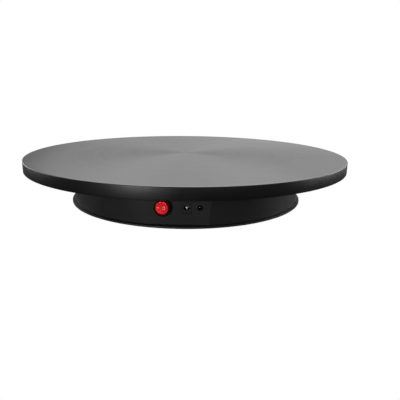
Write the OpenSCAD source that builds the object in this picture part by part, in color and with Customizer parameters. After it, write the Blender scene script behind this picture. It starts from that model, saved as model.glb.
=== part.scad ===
// Motorised turntable display stand: a round platter that turns on a low drum.
// Millimetres, +Z up. The origin is on the surface it stands on, under the platter's axis.
// The controls sit on the flat facet of the base, which faces -Y.

/* [Overall] */
// Height from the floor to the platter's top
stand_h = 60; // [60:0.5:63]
// Diameter of the platter
platter_d = 420; // [400:2:440]
// Diameter of the base wall at its top
base_d = 302; // [300:1:304]

/* [Platter] */
// Height of the platter's rim
rim_h = 13.2; // [13:0.1:13.6]
// Thickness of the platter's top skin
skin_t = 3; // [2.6:0.1:3.2]
// Thickness of the platter's rim
skirt_t = 3; // [2:0.25:4]
// Number of radial ribs under the platter
platter_ribs = 12; // [8:1:16]

/* [Base] */
// Thickness of the housing's wall, deck and panel
wall_t = 3; // [2.5:0.25:3]
// Draft of the housing's wall, in degrees
wall_draft = 1.2; // [0:0.2:1.6]
// Distance from the axis to the flat control panel
panel_y = 146.3; // [145.8:0.1:147]
// Diameter of the bottom plate
plate_d = 308.6; // [307:0.2:312]
// Thickness of the bottom plate
plate_t = 2; // [1.6:0.1:2.2]
// Height of the rubber feet
foot_h = 1.4; // [1.2:0.1:2]
// Diameter of the rubber feet
foot_d = 18; // [14:1:20]

/* [Drive] */
// Teeth of the ring gear under the platter
ring_teeth = 90; // [88:1:91]
// Teeth of the motor's pinion
pinion_teeth = 15; // [14:1:16]
// Play between meshing teeth, along the pitch line
gear_play = 0.3; // [0.25:0.05:0.5]

/* [Rollers] */
// Diameter of a support roller
roller_d = 14; // [13:0.5:14]
// Width of a support roller
roller_w = 8; // [6:0.5:8]
// Radius of the track that the rollers carry
track_r = 125; // [123:1:126]

/* [Controls] */
// Sideways place of the rocker switch on the panel
switch_x = -15.9; // [-17:0.1:-15]
// Sideways place of the power jack on the panel
jack_x = 9.4; // [9:0.1:10]
// Sideways place of the remote receiver on the panel
receiver_x = 23.9; // [23.5:0.1:25]
// Height of all three above the floor
controls_z = 22.6; // [20:0.2:24]

/* [Hidden] */
$fn = 64;

// Small allowances
eps = 0.01;       // how far a cutter passes a face that it only touches
cut = 1;          // how far a cutter passes a face that it opens
weld = 0.5;       // how far one feature runs into the next
running = 0.05;   // radial play of a turning fit
seam = 0.4;       // shadow gap between the housing and the bottom plate

// Levels, from the floor up
plate_top = foot_h + plate_t;
wall_z = plate_top + seam;
platter_z = stand_h - rim_h;
deck_drop = 2.8;
deck_top = platter_z - deck_drop;
deck_z = deck_top - wall_t;
skin_z = stand_h - skin_t;
deep_rib = 7;
shallow_rib = 3;
rib_z = skin_z - deep_rib;
mesh_z = skin_z - shallow_rib;
roller_lift = 1;
roller_z = deck_top + roller_lift;

// Platter
platter_r = platter_d / 2;
edge_r = 0.8;
hub_r = 24;
rib_t = 2;
dust_ring_r = 158;
dust_ring_t = 2.5;
dust_ring_rise = 0.4;
dust_ring_z = platter_z + dust_ring_rise;
track_margin = 2;
track_z = roller_z + roller_d / 2 + running;
track_in = track_r - roller_w / 2 - track_margin;
track_out = track_r + roller_w / 2 + track_margin;
gear_seat = 1;       // how far the ring gear's seat passes its edges

// Base
base_r = base_d / 2;
wall_gap = 0.8;      // between the platter's ribs and the housing's wall
wall_top = rib_z - wall_gap;
wall_edge = 1;
facet_reach = 10;    // how far the facet's cutter goes outwards
plate_edge = 0.4;
wall_foot_r = base_r - (wall_top - wall_z) * tan(wall_draft);
base_ribs = 12;
base_rib_h = 5;
base_rib_t = 2.5;
lip_gap = 0.3;
lip_t = 1.4;
lip_h = 2;
boss_count = 6;
boss_start = 15;
boss_circle_r = 137;
boss_r = 4;
pilot_r = 1.3;
pilot_h = 14;
screw_r = 1.3;       // bottom screws: shank, head, grip and cross slot
screw_head_r = 3;
screw_head_h = 1.6;
screw_hole_r = 1.6;
screw_sink_r = 3.1;
screw_grip = 9;
screw_slot = [3.6, 0.7, 1.8];
foot_count = 6;
foot_start = -121;
foot_circle_r = 142;
foot_stem_r = 2.5;
foot_barb_r = 3.2;
foot_barb_h = 3;
foot_barb_neck = 0.5;
foot_edge = 0.4;

// Centre bearing and spindle
bearing_bore_r = 8.5;
bearing_r = 17.5;
bearing_h = 10;
bearing_drop = 12.5;
bearing_z = deck_top - bearing_drop;
ball_r = 2.5;
ball_count = 9;
ball_circle_r = 13;
race_gap = 1.3;
cage_t = 1.6;
cage_h = 6;
hub_wall = 4.5;
hub_lip_h = 2.5;
hub_lip_r = 14.5;
collar_r = 11;
flange_r = 20;
flange_h = 3.5;
flange_screws = 4;
flange_start = 45;
flange_screw_r = 15.5;
flange_shank_r = 2;
flange_head_r = 3.6;
flange_head_h = 2.2;
flange_screw_l = 9;
flange_hole_l = 6;
spindle_lift = 0.2;  // the spindle's end above the bearing's lower face
washer_r = 11;
washer_h = 1.5;
centre_screw_r = 2.5;
centre_screw_l = 12;
centre_head_r = 4.5;
centre_head_h = 3.2;
centre_slot = [6, 1, 2.4];

// Gears: 20 degree involute teeth of 2 mm module, the ring's tips cut short
gear_m = 2;
pressure = 20;
ring_pitch_r = gear_m * ring_teeth / 2;
pinion_pitch_r = gear_m * pinion_teeth / 2;
motor_y = ring_pitch_r - pinion_pitch_r;
ring_tip = 0.75;
pinion_tip = 1;
tooth_root = 1.25;
ring_back = 4.5;
ring_outer_r = ring_pitch_r + tooth_root * gear_m + ring_back;
ring_gear_z = platter_z;
pinion_overlap = 0.2;
pinion_head_gap = 1;
pinion_z = platter_z - pinion_overlap;
pinion_top = mesh_z - pinion_head_gap;
pinion_hub_r = 8;
pinion_hub_gap = 2;
pinion_hub_lift = 1;
pinion_hub_z = deck_z + pinion_hub_lift;
shaft_r = 3;
shaft_flat = 0.5;
shaft_end = 4;       // the shaft's end above the gearbox's floor face
grub_r = 1.5;
grub_l = 4.5;
ring_screw_count = 6;
ring_screw_in = 2.6;
ring_screw_r = ring_outer_r - ring_screw_in;
ring_shank_r = 1;
ring_head_r = 2;
ring_head_h = 1.2;
ring_sink_r = 2.1;
ring_sink_h = 2;
ring_bite = 1.5;     // how far the ring gear's screws reach into the platter
ring_hole_l = 4;

// Rollers
roller_count = 6;
axle_r = 1.5;
axle_l = 19;
post_t = 3;
post_w = 8;
post_h = 4.5;
post_gap = 0.6;
slot_gap = 1.5;
relief_r = 1.4;      // grooves in the roller's flanks
relief_out = 1;

// Rocker switch
bezel_r = 10.2;
bezel_t = 2;
bezel_draft = 0.5;
barrel_r = 9;
barrel_l = 17;
mouth_r = 8.5;
cavity_r = 8;
cavity_l = 9.5;
rocker_r = 7.1;
rocker_lean = 13;    // lean at rest, with the left side pressed
rocker_v = 6;        // slope of each half of the face
rocker_proud = 0.1;
pivot_depth = 3;
pivot_r = 1;
pivot_half_l = 8.6;
blade_x = 4;         // switch terminals: two flat blades
blade_w = 4.8;
blade_t = 0.8;
blade_l = 7.5;
blade_end_y = barrel_l - weld + blade_l - panel_y;

// Power jack
jack_w = 9;
jack_h = 11;
jack_l = 14.2;
jack_drop = 0.5;
jack_inset = 0.2;
jack_gap = 0.35;
jack_recess = wall_t - 1.5;
jack_bore_r = 3.15;
jack_bore_l = 9.5;
jack_floor_y = jack_inset + jack_bore_l - panel_y;
jack_pin_r = 1;
jack_root_r = 1.6;
jack_pin_inset = 0.8;
cradle_t = 1.5;
cradle_l = 9;
tag_w = 3;           // jack contacts: two solder tags
tag_l = 3.5;
tag_t = 0.5;
tag_low = -4.5;
tag_high = 1.5;
tag_end_y = jack_inset + jack_l + tag_l - panel_y;

// Remote receiver
dome_r = 2.5;
dome_inset = 0.5;
dome_hole_r = 3.05;
dome_l = 7;
receiver_w = 12;
receiver_t = 1.2;
receiver_post_x = 4;
receiver_post_z = 4;
receiver_post_r = 1.4;
receiver_pilot_r = 0.7;
receiver_pilot_in = 0.5;
receiver_hole_r = 0.8;
receiver_screw_l = 4;
receiver_head_h = 1;
case_w = 5.2;        // case behind the dome
case_h = 6.4;
case_gap = 1.6;

// Control board, hung under the deck
board_w = 70;
board_l = 40;
board_t = 1.6;
board_y = -80;
board_drop = 9.6;
board_z = deck_z - board_drop;
board_hole_in = 4;
board_hole_x = board_w / 2 - board_hole_in;
board_hole_y = board_l / 2 - board_hole_in;
board_hole_r = 1.5;
board_boss_r = 3.2;
board_pilot_r = 1.25;
board_screw_l = 7;
board_head_r = 2.6;
board_head_h = 1.6;
chip_gap = 0.2;      // chips: gap over the board, and the strips of legs at two sides
leg_in = 0.5;
leg_out = 0.4;
leg_w = 1.2;
leg_t = 0.6;
processor_at = [-14, 2];
processor_size = [13, 7.5, 2.3];
driver_at = [10, 6];
driver_size = [10, 4, 1.6];
regulator_at = [14, -8];
regulator_size = [10, 9, 4.5];
capacitor_at = [-27, -6];
capacitor_r = 3.6;
capacitor_h = 10;
socket_x = 20;       // connectors: spacing, mouth, height and how far they stand out
socket_w = 8;
socket_h = 6;
socket_out = 1;

// Geared motor
gearbox_l = 46;
gearbox_w = 32;
gearbox_h = 24;
gearbox_x = 8;
gearbox_lid = 3;
gearbox_floor = 3;
gearbox_z = deck_z - gearbox_h;
gear_screw_x = 18;
gear_screw_y = 13;
mount_shank_r = 1.5; // the four screws that hold the gearbox to the deck
mount_hole_r = 1.6;
mount_head_r = 3.1;
mount_sink_r = 3.3;
mount_head_h = 1.7;
mount_screw_l = 10;
mount_bite = 5;
lid_screw_x = 2.5;   // the four small screws that close the gearbox
lid_screw_y = 7;
lid_shank_r = 1;
lid_head_r = 1.75;
lid_sink_r = 1.8;
lid_sink_h = 0.3;
lid_head_h = 1;
lid_screw_l = 5;
lid_bite = 4;
bush_r = 5;
bush_proud = 0.6;
can_r = 11.5;
can_l = 31;
can_drop = 0.4;
can_z = gearbox_z + gearbox_h / 2 - can_drop;
can_x = gearbox_x + gearbox_l / 2;
end_cap_l = 3;
end_cap_in = 1;
end_boss_r = 3.5;
end_boss_l = 1.5;
motor_tag = [4, 2.4, 0.5];
motor_tag_y = 7;
motor_bay_gap = 2;
motor_bay_end = 8;

// Inner leads: routes from terminal to connector, 2 mm thick
lead_r = 1;
lead_sides = 8;
lead_gap = 0.6;      // between a lead's end and the metal that it meets
plug_y = board_y - board_l / 2 - socket_out - lead_gap;
plug_drop = 0.4;
plug_z = board_z - socket_h / 2 - plug_drop;
jack_route = [[jack_x, tag_end_y + lead_gap, controls_z + tag_low + 0.9], [9, -124, 19], [6, -116, 21],
    [3, -108, 25], [0, plug_y, plug_z]];
switch_route = [[switch_x + blade_x, blade_end_y + lead_gap, controls_z], [-13, -117, 23],
    [-17, -109, 26], [-socket_x, plug_y, plug_z]];
receiver_route = [[receiver_x, dome_l + receiver_t + lead_gap - panel_y, controls_z - 4.1],
    [24, -132, 19], [24, -120, 21], [22, -110, 25], [socket_x, plug_y, plug_z]];
motor_route = [[can_x + can_l + end_cap_l + motor_tag[0] + 0.3, motor_y - motor_tag_y, can_z],
    [76, 66, 28], [86, 58, 27], [92, 42, 26], [94, 18, 25], [92, -10, 25], [84, -40, 26],
    [70, -64, 27], [56, -76, 28],
    [board_w / 2 + socket_out + lead_gap, board_y, plug_z]];

// Ring of copies about the vertical axis
module around(count, radius, start = 0) {
    for (i = [0 : count - 1])
        rotate([0, 0, start + 360 * i / count]) translate([radius, 0, 0]) children();
}

// Cylinder lying along Y from y to y + l
module rod_y(r, l, y = 0) {
    translate([0, y + l, 0]) rotate([90, 0, 0]) cylinder(r = r, h = l);
}

// Countersunk screw hanging from its head's face, point upwards
module countersunk_up(r, l, head_r, head_h) {
    cylinder(r1 = head_r, r2 = r, h = head_h);
    translate([0, 0, head_h - eps]) cylinder(r = r, h = l - head_h + eps);
}

// Pan-head screw with its seat at z = 0, point upwards
module pan_up(r, l, head_r, head_h) {
    translate([0, 0, -head_h]) cylinder(r = head_r, h = head_h);
    translate([0, 0, -weld]) cylinder(r = r, h = l + weld);
}

// Cross slot for a driver, standing on z = 0
module cross_slot(size) {
    for (a = [0, 90]) rotate([0, 0, a]) translate([-size[0] / 2, -size[1] / 2, 0]) cube(size);
}

// Involute: angle in degrees swept when the curve reaches radius r from base circle rb
function roll_angle(r, rb) = let (t = sqrt(max(0, r * r / (rb * rb) - 1))) t * 180 / PI - atan(t);

// Half of a tooth's angle at radius r, in degrees, for a pitch-line thickness of s
function half_tooth(r, rp, s) = let (rb = rp * cos(pressure))
    s / (2 * rp) * 180 / PI + roll_angle(rp, rb) - roll_angle(max(r, rb), rb);

// Outline of one tooth flank as [radius, angle] pairs between two radii
function flank(r0, r1, rp, s, steps) = [for (k = [0 : steps])
    let (r = r0 + (r1 - r0) * k / steps) [r, half_tooth(r, rp, s)]];

// Closed outline of a gear with outward involute teeth
module gear_outline(teeth, rp, tip, root, thick, steps) {
    r_tip = rp + tip * gear_m;
    r_root = rp - root * gear_m;
    rb = max(rp * cos(pressure), r_root + eps);
    side = flank(rb, r_tip, rp, thick, steps);
    up = concat([[r_root, side[0][1]]], side);
    polygon([for (i = [0 : teeth - 1], j = [0 : 2 * len(up) - 1])
        let (back = j < len(up), p = up[back ? j : 2 * len(up) - 1 - j],
            a = 360 * i / teeth + (back ? -p[1] : p[1]))
        [p[0] * cos(a), p[0] * sin(a)]]);
}

// Smooth curve through hand-set points: cubic between each pair, with shared slopes
function curve_at(p, i, t) = let (n = len(p) - 1,
    a = p[max(i - 1, 0)], b = p[i], c = p[i + 1], d = p[min(i + 2, n)])
    b + t * ((c - a) / 2 + t * (a - 2.5 * b + 2 * c - d / 2 + t * (1.5 * (b - c) + (d - a) / 2)));
function curve(p, steps) = concat([for (i = [0 : len(p) - 2], k = [0 : steps - 1])
    curve_at(p, i, k / steps)], [p[len(p) - 1]]);
function unit(v) = v / norm(v);

// Round lead swept along a route; every ring stands square to the curve
module lead(route, steps) {
    c = curve(route, steps);
    n = len(c);
    rings = [for (i = [0 : n - 1])
        let (t = unit(c[min(i + 1, n - 1)] - c[max(i - 1, 0)]),
            side = unit(cross(t, [0, 0, 1])), up = cross(side, t))
        for (k = [0 : lead_sides - 1]) let (a = 360 * k / lead_sides)
            c[i] + lead_r * (cos(a) * side + sin(a) * up)];
    skin = [for (i = [0 : n - 2], k = [0 : lead_sides - 1])
        let (a = i * lead_sides + k, b = i * lead_sides + (k + 1) % lead_sides)
        each [[a, b, a + lead_sides], [b, b + lead_sides, a + lead_sides]]];
    near = [[for (k = [0 : lead_sides - 1]) lead_sides - 1 - k]];
    far = [[for (k = [0 : lead_sides - 1]) (n - 1) * lead_sides + k]];
    polyhedron(points = rings, faces = concat(skin, near, far), convexity = 4);
}

// ---- Turning platter ----

// Section of the top skin and rim, with a rounded upper edge
module platter_section() {
    square_at(0, skin_z, platter_r - edge_r, skin_t);
    square_at(platter_r - skirt_t, platter_z, skirt_t, rim_h - edge_r);
    translate([platter_r - edge_r, stand_h - edge_r]) circle(r = edge_r);
    boss_at(0, hub_r, rib_z);
    boss_at(track_in, track_out, track_z);
    boss_at(dust_ring_r, dust_ring_r + dust_ring_t, dust_ring_z);
    boss_at(ring_pitch_r - ring_tip * gear_m - gear_seat, ring_outer_r + gear_seat, mesh_z);
}

// Rectangle from its corner, and a ring under the skin between two radii
module square_at(x, y, w, h) { translate([x, y]) square([w, h]); }
module boss_at(r0, r1, z) { square_at(r0, z, r1 - r0, skin_z + weld - z); }

// One radial rib: shallow over the gears, deep outside them, clear of the roller track
module platter_rib() {
    rotate([90, 0, 0]) linear_extrude(rib_t, center = true)
        polygon([
            [hub_r - weld, skin_z + weld], [hub_r - weld, mesh_z],
            [ring_outer_r + 2 * gear_seat, mesh_z], [ring_outer_r + 3 * gear_seat, rib_z],
            [track_in - track_margin, rib_z], [track_in + weld, track_z + 2 * weld],
            [track_out - weld, track_z + 2 * weld], [track_out + track_margin, rib_z],
            [platter_r - skirt_t + weld, rib_z], [platter_r - skirt_t + weld, skin_z + weld]
        ]);
}

module platter() {
    color("#6b6c6e") difference() {
        union() {
            rotate_extrude() platter_section();
            for (i = [0 : platter_ribs - 1])
                rotate([0, 0, 360 * (i + 0.5) / platter_ribs]) platter_rib();
        }
        around(flange_screws, flange_screw_r, flange_start)
            translate([0, 0, rib_z - eps]) cylinder(r = flange_shank_r, h = flange_hole_l);
        around(ring_screw_count, ring_screw_r)
            translate([0, 0, mesh_z - eps]) cylinder(r = ring_shank_r, h = ring_hole_l);
    }
}

module ring_gear() {
    gap_thick = PI * gear_m / 2 + gear_play / 2;
    color("#d8d4c4") difference() {
        translate([0, 0, ring_gear_z]) cylinder(r = ring_outer_r, h = mesh_z - ring_gear_z);
        translate([0, 0, ring_gear_z - cut]) linear_extrude(mesh_z - ring_gear_z + 2 * cut)
            rotate([0, 0, 90]) gear_outline(ring_teeth, ring_pitch_r, tooth_root, ring_tip, gap_thick, 2);
        around(ring_screw_count, ring_screw_r) translate([0, 0, ring_gear_z - eps]) {
            cylinder(r = ring_shank_r, h = mesh_z - ring_gear_z + cut);
            cylinder(r = ring_sink_r, h = ring_sink_h);
        }
    }
}

module ring_gear_screws() {
    color("silver") around(ring_screw_count, ring_screw_r)
        translate([0, 0, ring_gear_z + ring_sink_h - eps])
            pan_up(ring_shank_r, mesh_z - ring_gear_z + ring_bite, ring_head_r, ring_head_h);
}

module spindle() {
    shoulder_z = bearing_z + bearing_h;
    flange_z = rib_z - flange_h;
    color("#b9bcc0") difference() {
        rotate_extrude() polygon([
            [0, bearing_z + spindle_lift], [bearing_bore_r, bearing_z + spindle_lift],
            [bearing_bore_r, shoulder_z],
            [collar_r, shoulder_z], [collar_r, flange_z], [flange_r, flange_z],
            [flange_r, rib_z], [0, rib_z]
        ]);
        translate([0, 0, bearing_z]) cylinder(r = centre_screw_r, h = centre_screw_l);
        around(flange_screws, flange_screw_r, flange_start) translate([0, 0, flange_z - eps]) {
            cylinder(r = flange_shank_r, h = flange_h + cut);
            cylinder(r1 = flange_head_r + eps, r2 = flange_shank_r + eps, h = flange_head_h);
        }
    }
}

module spindle_screws() {
    color("silver") around(flange_screws, flange_screw_r, flange_start)
        translate([0, 0, rib_z - flange_h])
            countersunk_up(flange_shank_r, flange_screw_l, flange_head_r, flange_head_h);
}

module retaining_washer() {
    color("silver") translate([0, 0, bearing_z - washer_h]) difference() {
        cylinder(r = washer_r, h = washer_h);
        translate([0, 0, -cut]) cylinder(r = centre_screw_r, h = washer_h + 2 * cut);
    }
}

module retaining_screw() {
    color("silver") translate([0, 0, bearing_z - washer_h]) difference() {
        pan_up(centre_screw_r, centre_screw_l, centre_head_r, centre_head_h);
        translate([0, 0, -centre_head_h - cut]) cross_slot(centre_slot);
    }
}

// ---- Ball bearing ----

// Section of a race between two radii, with the balls' groove turned in it
module race_section(r0, r1) {
    difference() {
        square_at(r0, bearing_z, r1 - r0, bearing_h);
        translate([ball_circle_r, bearing_z + bearing_h / 2]) circle(r = ball_r + running);
    }
}

module bearing_inner_race() {
    color("#c4c8cc") rotate_extrude() race_section(bearing_bore_r, ball_circle_r - race_gap);
}

module bearing_outer_race() {
    color("#c4c8cc") rotate_extrude() race_section(ball_circle_r + race_gap, bearing_r);
}

module bearing_balls() {
    color("#dfe3e6") around(ball_count, ball_circle_r)
        translate([0, 0, bearing_z + bearing_h / 2]) sphere(r = ball_r);
}

module bearing_cage() {
    color("#a98f4a") difference() {
        translate([0, 0, bearing_z + (bearing_h - cage_h) / 2]) rotate_extrude()
            square_at(ball_circle_r - cage_t / 2, 0, cage_t, cage_h);
        around(ball_count, ball_circle_r)
            translate([0, 0, bearing_z + bearing_h / 2]) sphere(r = ball_r + running);
    }
}

// ---- Base ----

// Drum with the flat facet cut on its -Y side, drawn in by inset on every side
module drum(inset, z0, z1) {
    r0 = wall_foot_r + (z0 - wall_z) * tan(wall_draft) - inset;
    r1 = wall_foot_r + (z1 - wall_z) * tan(wall_draft) - inset;
    difference() {
        translate([0, 0, z0]) cylinder(r1 = r0, r2 = r1, h = z1 - z0);
        translate([-base_r, -panel_y + inset - 2 * wall_t - facet_reach, z0 - cut])
            cube([2 * base_r, 2 * wall_t + facet_reach, z1 - z0 + 2 * cut]);
    }
}

// Ribs under the deck, left out over the motor
module deck_ribs() {
    difference() {
        for (i = [0 : base_ribs - 1]) rotate([0, 0, boss_start + 360 * i / base_ribs])
            translate([bearing_r + 2 * weld, -base_rib_t / 2, deck_z - base_rib_h])
                cube([base_r - wall_t / 2 - bearing_r - 2 * weld, base_rib_t, base_rib_h + weld]);
        translate([gearbox_x - gearbox_l / 2 - motor_bay_gap,
                motor_y - gearbox_w / 2 - motor_bay_gap, gearbox_z])
            cube([gearbox_l + can_l + end_cap_l + motor_bay_end, gearbox_w + 2 * motor_bay_gap,
                gearbox_h]);
    }
}

// Two posts that hold one roller's axle
module roller_posts() {
    for (x = [-1, 1]) translate([x * (roller_w / 2 + post_gap + post_t / 2), 0, deck_top - weld])
        translate([-post_t / 2, -post_w / 2, 0]) cube([post_t, post_w, post_h + weld]);
}

module base_housing() {
    color("#232425") difference() {
        union() {
            difference() {
                union() {
                    drum(0, wall_z, wall_top - wall_edge);
                    drum(wall_edge / 2, wall_top - wall_edge - eps, wall_top);
                }
                drum(wall_t, wall_z - cut, deck_z);
                drum(wall_t, deck_top, wall_top + cut);
            }
            translate([0, 0, bearing_z - hub_lip_h])
                cylinder(r = bearing_r + hub_wall, h = deck_top - bearing_z + hub_lip_h);
            deck_ribs();
            around(boss_count, boss_circle_r, boss_start)
                translate([0, 0, plate_top]) cylinder(r = boss_r, h = deck_z - plate_top + weld);
            around(roller_count, track_r) roller_posts();
            board_corners() translate([0, 0, board_z + board_t])
                cylinder(r = board_boss_r, h = deck_z - board_z - board_t + weld);
            translate([jack_x - jack_w / 2 - cradle_t, -panel_y + wall_t - weld,
                    jack_face_z() - cradle_t])
                cube([jack_w + 2 * cradle_t, cradle_l + weld, jack_h + 2 * cradle_t]);
            receiver_posts() rod_y(receiver_post_r, dome_l - wall_t + weld, -panel_y + wall_t - weld);
        }
        translate([0, 0, bearing_z]) cylinder(r = bearing_r, h = deck_top - bearing_z + cut);
        translate([0, 0, bearing_z - hub_lip_h - cut])
            cylinder(r = hub_lip_r, h = hub_lip_h + 2 * cut);
        translate([0, motor_y, deck_z - cut])
            cylinder(r = pinion_hub_r + pinion_hub_gap, h = wall_t + 2 * cut);
        motor_corners() {
            translate([0, 0, deck_z - cut]) cylinder(r = mount_hole_r, h = wall_t + 2 * cut);
            translate([0, 0, deck_top - mount_head_h])
                cylinder(r1 = mount_hole_r, r2 = mount_sink_r + eps, h = mount_head_h + eps);
        }
        around(boss_count, boss_circle_r, boss_start)
            translate([0, 0, plate_top - cut]) cylinder(r = pilot_r, h = pilot_h + cut);
        around(roller_count, track_r) {
            translate([-roller_w / 2 - post_gap, -roller_d / 2 - slot_gap, deck_z - cut])
                cube([roller_w + 2 * post_gap, roller_d + 2 * slot_gap, wall_t + 2 * cut]);
            translate([0, 0, roller_z]) rotate([0, 90, 0]) cylinder(r = axle_r, h = axle_l, center = true);
        }
        board_corners() translate([0, 0, board_z + board_t - cut])
            cylinder(r = board_pilot_r, h = board_screw_l);
        translate([switch_x, 0, controls_z]) rod_y(barrel_r, wall_t + 2 * cut, -panel_y - cut);
        translate([jack_x - jack_w / 2, -panel_y, jack_face_z()])
            cube([jack_w, wall_t + cradle_l + cut, jack_h]);
        translate([jack_x - jack_w / 2 - jack_gap, -panel_y - cut, jack_face_z() - jack_gap])
            cube([jack_w + 2 * jack_gap, jack_recess + cut, jack_h + 2 * jack_gap]);
        translate([receiver_x, 0, controls_z])
            rod_y(dome_hole_r, wall_t + 2 * cut, -panel_y - cut);
        receiver_posts()
            rod_y(receiver_pilot_r, dome_l - wall_t, -panel_y + wall_t + receiver_pilot_in);
    }
}

function jack_face_z() = controls_z - jack_h / 2 - jack_drop;

// Places of the board's four fixings, the gearbox's four and the receiver board's two
module board_corners() {
    for (x = [-1, 1], y = [-1, 1]) translate([x * board_hole_x, board_y + y * board_hole_y, 0]) children();
}
module motor_corners() {
    for (x = [-1, 1], y = [-1, 1])
        translate([gearbox_x + x * gear_screw_x, motor_y + y * gear_screw_y, 0]) children();
}
module receiver_posts() {
    for (x = [-1, 1])
        translate([receiver_x + x * receiver_post_x, 0, controls_z - x * receiver_post_z]) children();
}

module bottom_plate() {
    plate_r = plate_d / 2;
    color("#1d1e1f") difference() {
        union() {
            translate([0, 0, foot_h]) cylinder(r1 = plate_r - plate_edge, r2 = plate_r, h = plate_edge);
            translate([0, 0, foot_h + plate_edge - eps])
                cylinder(r = plate_r, h = plate_t - plate_edge + eps);
            difference() {
                drum(wall_t + lip_gap, plate_top - weld, plate_top + lip_h);
                drum(wall_t + lip_gap + lip_t, plate_top, plate_top + lip_h + cut);
                around(boss_count, boss_circle_r, boss_start)
                    translate([0, 0, plate_top]) cylinder(r = boss_r + lip_gap, h = lip_h + cut);
            }
        }
        around(boss_count, boss_circle_r, boss_start) translate([0, 0, foot_h - eps]) {
            cylinder(r = screw_hole_r, h = plate_t + cut);
            cylinder(r1 = screw_sink_r, r2 = screw_hole_r, h = screw_head_h);
        }
        around(foot_count, foot_circle_r, foot_start) translate([0, 0, foot_h - cut])
            cylinder(r = foot_stem_r, h = plate_t + 2 * cut);
    }
}

module bottom_screws() {
    color("silver") around(boss_count, boss_circle_r, boss_start)
        translate([0, 0, foot_h]) difference() {
            countersunk_up(screw_r, plate_t + screw_grip, screw_head_r, screw_head_h);
            translate([0, 0, -cut]) cross_slot(screw_slot);
        }
}

// Rubber button pushed through the bottom plate
module foot(i) {
    color("#141414") rotate([0, 0, foot_start + 360 / foot_count * (i - 1)])
        translate([foot_circle_r, 0, 0]) {
            cylinder(r1 = foot_d / 2 - foot_edge, r2 = foot_d / 2, h = foot_edge);
            translate([0, 0, foot_edge - eps]) cylinder(r = foot_d / 2, h = foot_h - foot_edge + eps);
            translate([0, 0, foot_h - weld]) cylinder(r = foot_stem_r, h = plate_t + weld);
            translate([0, 0, plate_top])
                cylinder(r1 = foot_barb_r, r2 = foot_stem_r - foot_barb_neck, h = foot_barb_h);
        }
}
module foot_1() { foot(1); }
module foot_2() { foot(2); }
module foot_3() { foot(3); }
module foot_4() { foot(4); }
module foot_5() { foot(5); }
module foot_6() { foot(6); }

module roller_axles() {
    color("silver") around(roller_count, track_r)
        translate([0, 0, roller_z]) rotate([0, 90, 0]) cylinder(r = axle_r, h = axle_l, center = true);
}

// Support roller: a barrel with relieved flanks, its axle pointing outwards
module roller(i) {
    color("#dcdcd6") rotate([0, 0, 360 / roller_count * (i - 1)]) translate([track_r, 0, roller_z])
        rotate([0, 90, 0]) rotate_extrude() difference() {
            translate([axle_r + running, -roller_w / 2])
                square([roller_d / 2 - axle_r - running, roller_w]);
            for (y = [-1, 1]) translate([roller_d / 4 + relief_out, y * roller_w / 2])
                circle(r = relief_r);
        }
}
module roller_1() { roller(1); }
module roller_2() { roller(2); }
module roller_3() { roller(3); }
module roller_4() { roller(4); }
module roller_5() { roller(5); }
module roller_6() { roller(6); }

// ---- Controls ----

module switch_housing() {
    color("#1a1b1c") translate([switch_x, -panel_y, controls_z]) difference() {
        union() {
            rotate([90, 0, 0]) cylinder(r1 = bezel_r, r2 = bezel_r - bezel_draft, h = bezel_t);
            rod_y(barrel_r, barrel_l, -weld);
        }
        rod_y(mouth_r, bezel_t + cut, -bezel_t - cut);
        rod_y(cavity_r, cavity_l, -bezel_t);
        translate([0, pivot_depth - bezel_t, -pivot_half_l - running])
            cylinder(r = pivot_r + running, h = 2 * (pivot_half_l + running));
    }
}

// Rocker with a shallow V face; at rest its left edge is pressed level with the bezel
module switch_rocker() {
    rise = (pivot_depth + rocker_proud + rocker_r * sin(rocker_lean)) / cos(rocker_lean);
    v = rise - rocker_r * tan(rocker_v);
    color("#d8161c") translate([switch_x, pivot_depth - bezel_t - panel_y, controls_z])
        rotate([0, 0, -rocker_lean]) {
            intersection() {
                linear_extrude(2 * rocker_r, center = true) polygon([
                    [-rocker_r, -rise], [0, -v], [rocker_r, -rise],
                    [rocker_r, pivot_depth], [-rocker_r, pivot_depth]
                ]);
                rod_y(rocker_r, 4 * rocker_r, -2 * rocker_r);
            }
            cylinder(r = pivot_r, h = 2 * pivot_half_l, center = true);
        }
}

module switch_terminals() {
    color("#c8a860") for (x = [-blade_x, blade_x])
        translate([switch_x + x - blade_w / 2, barrel_l - weld - panel_y, controls_z - blade_t / 2])
            cube([blade_w, blade_l, blade_t]);
}

module jack_body() {
    color("#1f2021") difference() {
        translate([jack_x - jack_w / 2, jack_inset - panel_y, jack_face_z()])
            cube([jack_w, jack_l, jack_h]);
        translate([jack_x, 0, controls_z])
            rod_y(jack_bore_r, jack_bore_l + cut, jack_floor_y - jack_bore_l - cut);
        translate([jack_x, 0, controls_z]) rod_y(jack_root_r, jack_l, jack_floor_y - eps);
    }
}

module jack_pin() {
    tip_y = jack_pin_inset - panel_y;
    color("#e4e6e8") translate([jack_x, 0, controls_z]) {
        rod_y(jack_pin_r, jack_floor_y - tip_y, tip_y);
        rod_y(jack_root_r, jack_inset + jack_l - panel_y - jack_floor_y, jack_floor_y);
    }
}

module jack_contacts() {
    color("#c9cdd0") for (z = [tag_low, tag_high])
        translate([jack_x - tag_w / 2, jack_inset + jack_l - panel_y, controls_z + z])
            cube([tag_w, tag_l, tag_t]);
}

module receiver_module() {
    dome_y = dome_inset + dome_r - panel_y;
    color("#101114") translate([receiver_x, 0, controls_z]) {
        translate([0, dome_y, 0]) sphere(r = dome_r);
        rod_y(dome_r, dome_l - panel_y - dome_y, dome_y);
        translate([-case_w / 2, wall_t + case_gap - panel_y, -case_h / 2])
            cube([case_w, dome_l - wall_t - case_gap, case_h]);
    }
}

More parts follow.
